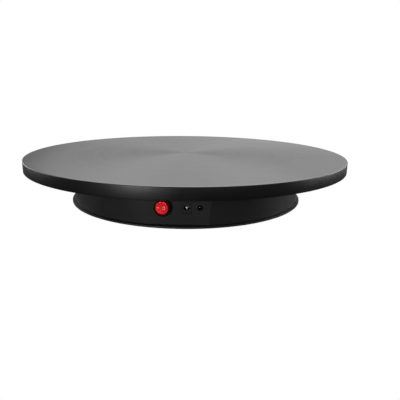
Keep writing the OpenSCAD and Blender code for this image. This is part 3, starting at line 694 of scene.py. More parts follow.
@dataclass(frozen=True)
class Finish(ABC):
    """A surface finish that can be put on any piece.

    Attributes:
        name: The material's name.
        colour: Its linear base colour.
        rough: Its middle roughness.
    """

    name: str
    colour: tuple[float, float, float]
    rough: float = 0.4

    def material(self) -> bpy.types.Material:
        """Builds the material the first time that it is asked for.

        Returns:
            The material.
        """
        if self.name in bpy.data.materials and bpy.data.materials[self.name].get("finished"):
            return bpy.data.materials[self.name]
        made = bpy.data.materials.new(self.name)
        made["finished"] = True
        graph = Graph.fresh(made)
        graph.node("OutputMaterial", {"Surface": self.shade(graph).outputs[0]})
        return made

    @abstractmethod
    def shade(self, graph: Graph) -> bpy.types.Node:
        """Adds the finish's nodes.

        Args:
            graph: The material's graph.

        Returns:
            The shader node.
        """

    @staticmethod
    def coords(graph: Graph) -> tuple[bpy.types.NodeSocket, bpy.types.NodeSocket]:
        """Returns the object's own position and normal."""
        made = graph.node("TexCoord")
        return made.outputs["Object"], made.outputs["Normal"]

    def tone(self, by: float = 1.0) -> tuple[float, ...]:
        """Returns the base colour made lighter or darker, with its alpha."""
        return (*(min(part * by, 1.0) for part in self.colour), 1.0)

    def mottled(self, graph: Graph, share: Any, dark: float,
                light: float) -> bpy.types.NodeSocket:
        """Returns the base colour varied between a darker and a lighter tone of itself."""
        return graph.blend(share, self.tone(dark), self.tone(light))

    @staticmethod
    def skin(graph: Graph, look: dict[str, Any], height: Any, relief: tuple[float, float],
             edge: float = 0.0) -> bpy.types.Node:
        """Adds the surface's shader with its relief, over edges that are eased.

        Args:
            graph: The material's graph.
            look: The shader's own inputs, by name.
            height: Height of the surface's texture.
            relief: Strength of that texture, and its depth in metres.
            edge: Radius in metres over which edges are eased, or zero to leave them.

        Returns:
            The shader node.
        """
        bump = {"Strength": relief[0], "Distance": relief[1], "Height": height}
        if edge:
            bump["Normal"] = graph.node("Bevel", {"Radius": edge}, samples=4).outputs[0]
        return graph.node("BsdfPrincipled", {**look, "Normal": graph.node("Bump", bump).outputs[0]})


@dataclass(frozen=True)
class MouldedPlastic(Finish):
    """Plastic from a textured mould, with a soft edge catch and faint handling marks.

    Attributes:
        grain: Strength of the mould texture.
        specular: Specular level of the clear skin.
        edge: Radius in metres over which edges are eased.
        dust: Amount of dust on upward faces.
    """

    grain: float = 0.12
    specular: float = 0.5
    edge: float = 0.0003
    dust: float = 0.25

    def shade(self, graph: Graph) -> bpy.types.Node:
        """Mixes mottle, smears and dust into the colour, and eases the edges.

        Args:
            graph: The material's graph.

        Returns:
            The shader node.
        """
        at, facing = self.coords(graph)
        grain = graph.effect(MouldGrain, Vector=at, Fineness=1.0)
        marks = graph.effect(Handling, Vector=at, Spread=1.0)
        dust = graph.effect(Dust, Vector=at, Normal=facing, Amount=self.dust)["Mask"]
        body = graph.blend(dust, self.mottled(graph, grain["Mottle"], 0.88, 1.14), grey(0.32))
        rough = graph.plus(graph.plus(self.rough, marks["Smear"], -0.05), dust, 0.3)
        look = {"Base Color": body, "Roughness": rough, "Specular IOR Level": self.specular,
                "IOR": 1.48}
        return self.skin(graph, look, grain["Height"], (self.grain, 0.00006), self.edge)


@dataclass(frozen=True)
class TurnedPlastic(Finish):
    """Dark plastic faced on a lathe: fine rings that stretch each highlight outwards.

    Attributes:
        pull: How far the rings stretch a reflection.
        specular: Specular level.
        edge: Radius in metres over which edges are eased.
        pitch: Rings to a metre of radius.
    """

    pull: float = 0.75
    specular: float = 0.5
    edge: float = 0.0004
    pitch: float = 2600.0

    def shade(self, graph: Graph) -> bpy.types.Node:
        """Adds the rings to colour, roughness and height, with a tangent round the axis.

        Args:
            graph: The material's graph.

        Returns:
            The shader node.
        """
        at, facing = self.coords(graph)
        rings = graph.effect(TurnedRings, Vector=at, Pitch=self.pitch)
        marks = graph.effect(Handling, Vector=at, Spread=0.8)
        dust = graph.effect(Dust, Vector=at, Normal=facing, Amount=0.35)["Mask"]
        body = graph.blend(dust, self.mottled(graph, rings["Streak"], 0.9, 1.12), grey(0.3))
        rough = graph.plus(graph.plus(self.rough, rings["Streak"], 0.03), marks["Smear"], 0.02)
        tangent = graph.node("Tangent", direction_type="RADIAL", axis="Z").outputs[0]
        look = {"Base Color": body, "Roughness": rough, "Tangent": tangent,
                "Anisotropic": self.pull, "Specular IOR Level": self.specular, "IOR": 1.5}
        return self.skin(graph, look, rings["Height"], (0.06, 0.00004), self.edge)


@dataclass(frozen=True)
class GlossPlastic(Finish):
    """Smooth polished plastic with a slow ripple and light rub marks.

    Attributes:
        glow: Share of light that passes into the body and comes out again.
        coat: Weight of the polished skin.
    """

    glow: float = 0.0
    coat: float = 0.2

    def shade(self, graph: Graph) -> bpy.types.Node:
        """Puts rub marks into the roughness and a ripple into the height.

        Args:
            graph: The material's graph.

        Returns:
            The shader node.
        """
        at, _ = self.coords(graph)
        marks = graph.effect(Handling, Vector=at, Spread=6.0)
        grain = graph.effect(MouldGrain, Vector=at, Fineness=0.4)
        look = {"Base Color": self.mottled(graph, grain["Mottle"], 0.93, 1.06),
                "Roughness": graph.plus(self.rough, marks["Rub"], 0.18),
                "Subsurface Weight": self.glow, "Subsurface Scale": 0.002,
                "Coat Weight": self.coat, "Coat Roughness": 0.12, "IOR": 1.49}
        return self.skin(graph, look, grain["Height"], (0.05, 0.00005), 0.0002)


@dataclass(frozen=True)
class Rubber(Finish):
    """Matt rubber with a chalky bloom and ground-in specks."""

    def shade(self, graph: Graph) -> bpy.types.Node:
        """Lightens the bloomed patches and keeps the surface very rough.

        Args:
            graph: The material's graph.

        Returns:
            The shader node.
        """
        at, facing = self.coords(graph)
        grain = graph.effect(MouldGrain, Vector=at, Fineness=0.7)
        dust = graph.effect(Dust, Vector=at, Normal=facing, Amount=0.5)["Mask"]
        bloom = grain["Mottle"]
        look = {"Base Color": graph.blend(dust, self.mottled(graph, bloom, 1.0, 1.9), grey(0.25)),
                "Roughness": graph.remap(bloom, 0.0, 1.0, self.rough, self.rough + 0.12),
                "Sheen Weight": 0.08, "Specular IOR Level": 0.3}
        return self.skin(graph, look, grain["Height"], (0.35, 0.0001))


@dataclass(frozen=True)
class Metal(Finish):
    """Worked metal with crossed hairlines and thin tarnish.

    Attributes:
        tarnish: Share of the colour that the tarnish takes.
        hairline: Strength of the hairlines.
    """

    tarnish: float = 0.35
    hairline: float = 0.15

    def shade(self, graph: Graph) -> bpy.types.Node:
        """Darkens the tarnished patches and scores the surface.

        Args:
            graph: The material's graph.

        Returns:
            The shader node.
        """
        at, _ = self.coords(graph)
        lines = graph.effect(Scratches, Vector=at, Scale=self.tarnish)
        look = {"Base Color": self.mottled(graph, lines["Tarnish"], 1.0, 0.45),
                "Roughness": graph.plus(self.rough, lines["Tarnish"], 0.3), "Metallic": 1.0}
        return self.skin(graph, look, lines["Height"], (self.hairline, 0.00003), 0.00015)


@dataclass(frozen=True)
class Casting(Finish):
    """Die-cast zinc: a sandy skin with darker patches of tarnish."""

    def shade(self, graph: Graph) -> bpy.types.Node:
        """Mixes mould grain and tarnish over a dull metal.

        Args:
            graph: The material's graph.

        Returns:
            The shader node.
        """
        at, _ = self.coords(graph)
        grain = graph.effect(MouldGrain, Vector=at, Fineness=0.45)
        lines = graph.effect(Scratches, Vector=at, Scale=0.5)
        sandy = self.mottled(graph, grain["Mottle"], 0.8, 1.15)
        look = {"Base Color": graph.blend(lines["Tarnish"], sandy, self.tone(0.5)),
                "Roughness": self.rough, "Metallic": 0.85}
        return self.skin(graph, look, grain["Height"], (0.5, 0.00012), 0.0004)


@dataclass(frozen=True)
class Laminate(Finish):
    """Circuit board: solder mask over copper tracks, with the glass weave just visible.

    Attributes:
        track: Colour of the mask over copper.
        lines: Scale of the cells whose borders are the tracks.
        areas: Scale of the cells that leave the tracks out.
        threads: Scale of the woven glass.
    """

    track: tuple[float, float, float] = (0.03, 0.2, 0.07)
    lines: float = 260.0
    areas: float = 230.0
    threads: float = 900.0

    def shade(self, graph: Graph) -> bpy.types.Node:
        """Draws tracks as the borders of square cells, and a woven height.

        Args:
            graph: The material's graph.

        Returns:
            The shader node.
        """
        at, _ = self.coords(graph)
        areas = graph.node("TexVoronoi", {"Vector": at, "Scale": self.areas, "Randomness": 0.55},
                           distance="CHEBYCHEV", feature="F1")
        lines = graph.node("TexVoronoi", {"Vector": at, "Scale": self.lines, "Randomness": 0.3},
                           feature="DISTANCE_TO_EDGE")
        copper = graph.product(graph.remap(lines.outputs[0], 0.1, 0.06),
                               graph.remap(areas.outputs[0], 0.75, 0.5))
        weave = graph.node("TexBrick", {"Vector": at, "Scale": self.threads, "Mortar Size": 0.06,
                                        "Color1": grey(1.0), "Color2": grey(0.7)})
        look = {"Base Color": graph.blend(copper, self.tone(), (*self.track, 1.0)),
                "Roughness": graph.remap(copper, 0.0, 1.0, self.rough, self.rough - 0.1),
                "Coat Weight": 0.3, "Coat Roughness": 0.2}
        height = graph.plus(copper, weave.outputs[1], 0.15)
        return self.skin(graph, look, height, (0.3, 0.00006))


@dataclass(frozen=True)
class Vinyl(Finish):
    """Soft insulation of a lead, slightly waxy, with rubbed and dusty runs."""

    def shade(self, graph: Graph) -> bpy.types.Node:
        """Varies colour and gloss slowly along the lead.

        Args:
            graph: The material's graph.

        Returns:
            The shader node.
        """
        at, facing = self.coords(graph)
        grain = graph.effect(MouldGrain, Vector=at, Fineness=0.6)
        dust = graph.effect(Dust, Vector=at, Normal=facing, Amount=0.4)["Mask"]
        wax = grain["Mottle"]
        look = {"Base Color": graph.blend(dust, self.mottled(graph, wax, 1.0, 1.3), grey(0.4)),
                "Roughness": graph.remap(wax, 0.0, 1.0, self.rough, self.rough + 0.15),
                "Subsurface Weight": 0.05, "Subsurface Scale": 0.001}
        return self.skin(graph, look, grain["Height"], (0.15, 0.00004))


TURNED_TOP = TurnedPlastic("platter_turned_plastic", (0.010, 0.010, 0.0105), 0.33)
DRUM_PLASTIC = MouldedPlastic("drum_moulded_plastic", (0.0125, 0.0125, 0.0128), 0.52, 0.12, 0.22)
PLATE_PLASTIC = MouldedPlastic("plate_moulded_plastic", (0.016, 0.016, 0.0165), 0.5, 0.2)
RIM_PLASTIC = MouldedPlastic("rim_satin_plastic", (0.004, 0.004, 0.0042), 0.39, 0.02, 0.4, 0.0002)
FOOT_RUBBER = Rubber("foot_rubber", (0.012, 0.012, 0.012), 0.78)
RED_ROCKER = GlossPlastic("rocker_red_plastic", (0.92, 0.005, 0.01), 0.26, 0.12, 0.35)
BEZEL_BLACK = MouldedPlastic("bezel_black_plastic", (0.0018, 0.0022, 0.003), 0.34, 0.05, 0.22)
JACK_BLACK = MouldedPlastic("jack_black_plastic", (0.007, 0.007, 0.0075), 0.36, 0.1)
DOME_BLACK = GlossPlastic("receiver_dark_epoxy", (0.004, 0.0032, 0.0045), 0.1, 0.0, 0.6)
MARK_WHITE = MouldedPlastic("mark_white_ink", (0.62, 0.58, 0.56), 0.45, 0.05)
STEEL = Metal("fastener_steel", (0.62, 0.62, 0.63), 0.28)
BEARING_STEEL = Metal("bearing_steel", (0.68, 0.68, 0.69), 0.12, 0.15, 0.06)
BRASS = Metal("brass", (0.72, 0.5, 0.2), 0.25)
CONTACT = Metal("contact_plating", (0.92, 0.92, 0.9), 0.42, 0.2, 0.08)
CAN_STEEL = Metal("motor_can_steel", (0.55, 0.56, 0.58), 0.3, 0.25)
GEAR_ACETAL = GlossPlastic("gear_acetal", (0.68, 0.67, 0.62), 0.34, 0.1, 0.0)
ROLLER_ACETAL = GlossPlastic("roller_acetal", (0.62, 0.62, 0.58), 0.38, 0.1, 0.0)
BOARD = Laminate("circuit_laminate", (0.008, 0.085, 0.03), 0.42)
CHIP_EPOXY = MouldedPlastic("chip_epoxy", (0.013, 0.013, 0.014), 0.55, 0.3)
SLEEVE = GlossPlastic("capacitor_sleeve", (0.012, 0.02, 0.16), 0.3)
NYLON = MouldedPlastic("connector_nylon", (0.72, 0.69, 0.6), 0.5, 0.1)
ZINC = Casting("gearbox_zinc", (0.34, 0.35, 0.37), 0.45)
RED_LEAD = Vinyl("lead_red", (0.5, 0.008, 0.012), 0.42)
BLACK_LEAD = Vinyl("lead_black", (0.012, 0.012, 0.012), 0.42)
WHITE_LEAD = Vinyl("lead_white", (0.68, 0.68, 0.66), 0.42)

CAD_FINISHES: dict[str, Finish] = {
    "platter_plastic": TURNED_TOP, "housing_plastic": DRUM_PLASTIC,
    "plate_plastic": PLATE_PLASTIC, "foot_rubber": FOOT_RUBBER,
    "rocker_plastic": RED_ROCKER, "bezel_plastic": BEZEL_BLACK,
    "jack_plastic": JACK_BLACK, "receiver_epoxy": DOME_BLACK, "steel": STEEL,
    "bearing_steel": BEARING_STEEL, "brass": BRASS, "contact_metal": CONTACT,
    "gear_plastic": GEAR_ACETAL, "roller_plastic": ROLLER_ACETAL, "circuit_board": BOARD,
    "chip_epoxy": CHIP_EPOXY, "capacitor_sleeve": SLEEVE, "connector_plastic": NYLON,
    "motor_steel": CAN_STEEL, "gearbox_metal": ZINC, "red_lead": RED_LEAD,
    "black_lead": BLACK_LEAD, "white_lead": WHITE_LEAD,
}


# ------------------------------------------------------------------------------ studio


def bearing(azimuth: float, elevation: float) -> Vector:
    """Works out (sin a cos e, -cos a cos e, sin e), the way that two angles in degrees point.

    Args:
        azimuth: Bearing from straight ahead, positive to the right.
        elevation: Height above level.

    Returns:
        The direction, with a length of one.
    """
    turn, lift = math.radians(azimuth), math.radians(elevation)
    return Vector((math.sin(turn) * math.cos(lift), -math.cos(turn) * math.cos(lift),
                   math.sin(lift)))


@dataclass
class SoftBox:
    """A flat lamp that faces a point.

    Attributes:
        name: The lamp's name.
        azimuth: Its bearing in degrees from straight ahead, positive to the right.
        elevation: Its height above the floor in degrees.
        distance: Its distance in metres.
        size: Its width and height in metres.
        power: Its power in watts.
    """

    name: str
    azimuth: float
    elevation: float
    distance: float
    size: tuple[float, float]
    power: float

    def hang(self, aim: Vector) -> bpy.types.Object:
        """Makes the lamp and turns it to face a point.

        Args:
            aim: The point, in metres.

        Returns:
            The lamp's object.
        """
        lamp = bpy.data.lights.new(self.name, "AREA")
        lamp.shape = "RECTANGLE"
        lamp.size, lamp.size_y = self.size
        lamp.energy = self.power
        away = bearing(self.azimuth, self.elevation)
        made = placed(self.name, lamp)
        made.location = aim + away * self.distance
        made.rotation_mode = "QUATERNION"
        made.rotation_quaternion = away.to_track_quat("Z", "Y")
        return made


@dataclass
class Studio:
    """The camera, the pale floor and the light round the object.

    Attributes:
        azimuth: Bearing of the camera in degrees, positive to the object's right.
        elevation: Height of the camera above the floor in degrees.
        distance: Distance of the camera from the middle of the object, in millimetres.
        aim_height: Height of that middle above the floor, in millimetres.
        pan: Turn of the camera to its right past the middle, in degrees.
        tilt: Turn of the camera down past the middle, in degrees.
        roll: Turn of the camera about its own axis, in degrees.
        focal: Focal length of the lens, in millimetres.
        sensor: Width of the sensor behind it, in millimetres.
        floor_half: Half the floor's width, in metres.
        floor_drop: How far the floor lies below the feet, in metres.
        floor_gleam: How pale the floor is to everything but the camera.
        under_size: Width of the lamp under the bottom plate, in metres.
        under_power: Power of that lamp, in watts.
        under_height: Height of that lamp, in metres.
        boxes: The soft boxes round the object.
    """

    azimuth: float = 3.7
    elevation: float = 10.84
    distance: float = 580.0
    aim_height: float = 35.0
    pan: float = 1.899
    tilt: float = 4.071
    roll: float = 0.712
    focal: float = 37.33
    sensor: float = 36.0
    floor_half: float = 6.0
    floor_drop: float = 0.0003
    floor_gleam: float = 0.03
    under_size: float = 0.3
    under_power: float = 0.07
    under_height: float = 0.0004
    boxes: list[SoftBox] = field(default_factory=lambda: [
        SoftBox("key_box", -25.0, 6.0, 1.6, (0.3, 0.4), 12.0),
        SoftBox("fill_box", 25.0, 12.0, 2.0, (1.5, 0.8), 4.0),
        SoftBox("back_box", 176.0, 32.0, 2.2, (2.4, 0.7), 10.0),
        SoftBox("right_box", 106.0, 8.0, 1.7, (1.6, 0.8), 26.0),
        SoftBox("left_box", -118.0, 8.0, 1.7, (1.5, 0.8), 17.0),
    ])

    @property
    def aim(self) -> Vector:
        """The middle of the object, in metres."""
        return Vector((0.0, 0.0, self.aim_height * MM))

    def camera(self) -> bpy.types.Object:
        """Makes the camera from its bearing, height and aim, and rolls it about its axis.

        Returns:
            The camera's object.
        """
        lens = bpy.data.cameras.new("camera")
        lens.lens, lens.sensor_width = self.focal, self.sensor
        lens.clip_start, lens.clip_end = 0.02, 20.0
        eye = self.aim + bearing(self.azimuth, self.elevation) * self.distance * MM
        back = bearing(self.azimuth - self.pan, self.elevation + self.tilt)
        side = Vector(AXIS_Z).cross(back).normalized()
        up = back.cross(side)
        spin = math.radians(self.roll)
        right = side * math.cos(spin) + up * math.sin(spin)
        top = up * math.cos(spin) - side * math.sin(spin)
        made = placed("camera", lens)
        made.matrix_world = (Matrix.Translation(eye)
                             @ Matrix((right, top, back)).transposed().to_4x4())
        bpy.context.scene.camera = made
        return made

    def floor(self) -> bpy.types.Object:
        """Lays a pale floor that is white to the camera and dim to the object's gloss.

        Returns:
            The floor's object.
        """
        mesh = bpy.data.meshes.new("floor")
        corners = [(x * self.floor_half, y * self.floor_half, -self.floor_drop)
                   for x, y in ((-1, -1), (1, -1), (1, 1), (-1, 1))]
        mesh.from_pydata(corners, [], [(0, 1, 2, 3)])
        made = placed("floor", mesh)
        paper = bpy.data.materials.new("floor_paper")
        graph = Graph.fresh(paper)
        seen = graph.node("LightPath").outputs["Is Camera Ray"]
        under = graph.node("NewGeometry").outputs["Backfacing"]
        white = graph.node("Emission", {"Color": grey(1.0), "Strength": 1.0})
        dim = graph.node("BsdfDiffuse", {"Color": grey(self.floor_gleam)})
        lit = graph.node("MixShader", {0: seen, 1: dim.outputs[0], 2: white.outputs[0]})
        clear = graph.node("BsdfTransparent")
        both = graph.node("MixShader", {0: under, 1: lit.outputs[0], 2: clear.outputs[0]})
        graph.node("OutputMaterial", {"Surface": both.outputs[0]})
        mesh.materials.append(paper)
        return made

    def sky(self) -> None:
        """Makes the surroundings: white to the camera, and a soft gradient for the light.

        The light grows to the back, to the right and upwards, and fades out at the floor.
        """
        world = bpy.data.worlds.new("surroundings")
        graph = Graph.fresh(world)
        way = graph.node("SeparateXYZ", {0: graph.node("TexCoord").outputs["Generated"]}).outputs
        back = graph.remap(way[1], -0.2, 0.9)
        right = graph.remap(way[0], -0.7, 0.5, 0.62, 1.08)
        high = graph.remap(way[2], 0.0, 0.35, 0.55, 1.3)
        lift = graph.remap(way[2], -0.04, 0.04)
        band = graph.product(graph.product(graph.product(back, right), high), lift)
        level = graph.math("ADD", graph.product(band, 0.9), 0.03)
        seen = graph.node("LightPath").outputs["Is Camera Ray"]
        light = graph.node("Background", {"Color": grey(1.0), "Strength": level})
        plain = graph.node("Background", {"Color": grey(1.0), "Strength": 1.0})
        both = graph.node("MixShader", {0: seen, 1: light.outputs[0], 2: plain.outputs[0]})
        graph.node("OutputWorld", {"Surface": both.outputs[0]})
        bpy.context.scene.world = world

    def under_lamp(self) -> bpy.types.Object:
        """Lays a weak round lamp on the floor, facing up, so that the bottom plate shows.

        Returns:
            The lamp's object.
        """
        lamp = bpy.data.lights.new("under_lamp", "AREA")
        lamp.shape, lamp.size, lamp.energy = "DISK", self.under_size, self.under_power
        made = placed("under_lamp", lamp)
        made.location, made.rotation_euler = (0.0, 0.0, self.under_height), (math.pi, 0.0, 0.0)
        made.visible_camera = False
        return made

    def set_up(self) -> None:
        """Makes the camera, the floor and every light, and keeps white paper white."""
        self.camera()
        self.floor()
        self.sky()
        for box in self.boxes:
            box.hang(self.aim)
        self.under_lamp()
        view = bpy.context.scene.view_settings
        view.view_transform, view.look = "Standard", "None"
        view.exposure, view.gamma = 0.0, 1.0


# ------------------------------------------------------------------------------ pieces


def seat(piece: bpy.types.Object, body: Body,
         nodes: Iterable[str] = ()) -> bpy.types.Object:
    """Puts a piece on its body and the nodes that it stands for.

    Args:
        piece: The finished piece.
        body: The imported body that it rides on.
        nodes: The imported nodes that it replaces.

    Returns:
        The piece.
    """
    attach(piece, body)
    if nodes:
        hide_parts(*nodes)
    LOG.info("piece %s on %s", piece.name, body.value)
    return piece


@dataclass
class Platter:
    """The turning platter: a turned disc with a rim, and webs under it.

    Attributes:
        radius: Outer radius.
        top: Height of the top face.
        rim: Height of the rim.
        skin: Thickness of the top.
        skirt: Thickness of the rim.
        hub: Radius and lower face of the centre boss.
        guard: Inner radius, outer radius and lower edge of the dust ring.
        track: Inner radius, outer radius and lower face of the roller track.
        webs: Number of webs.
        web_half: Half the thickness of a web.
        web_foot: Radius and height of a web's lower edge, from the hub to the rim.
        around: Positions of the disc's profile in a full turn.
    """

    radius: float = 210.0
    top: float = 60.0
    rim: float = 13.2
    skin: float = 3.0
    skirt: float = 3.0
    hub: tuple[float, float] = (24.0, 50.0)
    guard: tuple[float, float, float] = (158.0, 160.5, 47.2)
    track: tuple[float, float, float] = (119.0, 131.0, 52.05)
    webs: int = 12
    web_half: float = 1.0
    web_foot: tuple[tuple[float, float], ...] = (
        (23.5, 54.0), (99.0, 54.0), (100.0, 50.0), (117.0, 50.0), (119.5, 53.0),
        (130.5, 53.0), (133.0, 50.0), (207.5, 50.0))
    around: int = 360

    def disc(self) -> bpy.types.Object:
        """Turns the disc from one closed profile with every edge eased.

        The top face takes rings of its own, and a finish other than the rim's.

        Returns:
            The finished disc.
        """
        under, low = self.top - self.skin, self.top - self.rim
        inner, arc = self.radius - self.skirt, 6
        profile = rounded([
            (0.0, self.top, 0.0), (self.radius, self.top, 0.5), (self.radius, low, 0.5),
            (inner, low, 0.5), (inner, under, 1.2), (self.guard[1], under, 0.8),
            (self.guard[1], self.guard[2], 0.4), (self.guard[0], self.guard[2], 0.4),
            (self.guard[0], under, 0.8), (self.track[1], under, 0.6),
            (self.track[1], self.track[2], 0.4), (self.track[0], self.track[2], 0.4),
            (self.track[0], under, 0.6), (self.hub[0], under, 1.0),
            (self.hub[0], self.hub[1], 0.5), (0.0, self.hub[1], 0.0)], arc)
        reach = np.linspace(0.0, 0.98 * self.radius, 12)[1:]
        face = np.stack([reach, np.full_like(reach, self.top)], 1)
        disc = Shell("platter_disc")
        disc.turned(np.concatenate([profile[:arc], face, profile[arc:arc + 1]]), steps=self.around)
        disc.turned(profile[arc:], steps=self.around, finish=1)
        return disc.build([TURNED_TOP, RIM_PLASTIC], 40.0)

    def web_grid(self, turn: float) -> np.ndarray:
        """Carries a narrow upright section out along one web.

        The section is a strip with its two lower corners eased; its lower edge follows the
        web's height at each radius, and its upper edge is sunk into the top's skin.

        Args:
            turn: The web's angle in radians.

        Returns:
            A grid that closes on itself in its second direction.
        """
        ease, sunk = 0.25, 0.3
        radii, heights = np.array(self.web_foot).T
        reach = np.unique(np.concatenate([radii, np.linspace(radii[0], radii[-1], 60)]))
        foot = np.interp(reach, radii, heights)[:, None]
        side = self.web_half * np.array([1.0, 1.0, 1 - ease, ease - 1, -1.0, -1.0])
        lowest = np.array([False, False, True, True, False, False])
        level = np.where(lowest, foot, foot + ease)
        level[:, [0, 5]] = self.top - self.skin + sunk
        out = np.broadcast_to(reach[:, None], level.shape)
        across = np.broadcast_to(side, level.shape)
        wall = np.stack([out * math.cos(turn) - across * math.sin(turn),
                         out * math.sin(turn) + across * math.cos(turn), level], -1)
        ends = np.broadcast_to(wall[[0, -1]].mean(1, keepdims=True), (2,) + wall.shape[1:])
        return np.concatenate([ends[:1], wall, ends[1:]])

    def make(self) -> None:
        """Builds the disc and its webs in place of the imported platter."""
        seat(self.disc(), Body.PLATTER, ["platter"])
        webs = Shell("platter_webs")
        for k in range(self.webs):
            webs.grid(self.web_grid(FULL_TURN * (k + 0.5) / self.webs), loop_columns=True)
        seat(webs.build([DRUM_PLASTIC]), Body.PLATTER)


@dataclass
class Feet:
    """Rubber buttons pressed through the bottom plate, each with a ringed tread.

    Attributes:
        count: Number of feet.
        circle: Radius of the circle that they stand on.
        start: Angle of the first, in degrees.
        radius: Outer radius of a foot.
        height: Height of the part below the plate.
        plate: Thickness of the plate.
        stem: Radius of the stem through the plate.
        grooves: Middle radius of each groove in the tread.
    """

    count: int = 6
    circle: float = 142.0
    start: float = -121.0
    radius: float = 9.0
    height: float = 1.4
    plate: float = 2.0
    stem: float = 2.5
    grooves: tuple[float, ...] = (7.0, 5.0, 3.0)

    def profile(self) -> np.ndarray:
        """Draws the foot's section: barb, stem, flange, rounded wall and ringed tread.

        Returns:
            The section as rows of (radius, height).
        """
        barb = self.height + self.plate
        outer = [(0.0, barb + 3.0, 0.0), (2.0, barb + 3.0, 0.4), (3.2, barb, 0.2),
                 (self.stem, barb, 0.1), (self.stem, self.height, 0.2),
                 (self.radius, self.height, 0.25), (self.radius, 0.0, 0.5)]
        groove = ((0.5, 0.0), (0.2, 0.35), (-0.2, 0.35), (-0.5, 0.0))
        tread = [(middle + r, z, 0.12) for middle in self.grooves for r, z in groove]
        return rounded(outer + tread + [(0.0, 0.0, 0.0)], 4)

    def make(self) -> None:
        """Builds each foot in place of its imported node."""
        for k in range(self.count):
            turn = math.radians(self.start + 360 * k / self.count)
            spot = Place((self.circle * math.cos(turn), self.circle * math.sin(turn), 0.0))
            piece = Shell(f"rubber_foot_{k + 1}").turned(self.profile(), spot, 48)
            seat(piece.build([FOOT_RUBBER]), Body.BASE, [f"foot_{k + 1}"])


PANEL = Place((0.0, -146.3, 22.6), AXIS_X, AXIS_Z)  # middle of the front facet, facing out


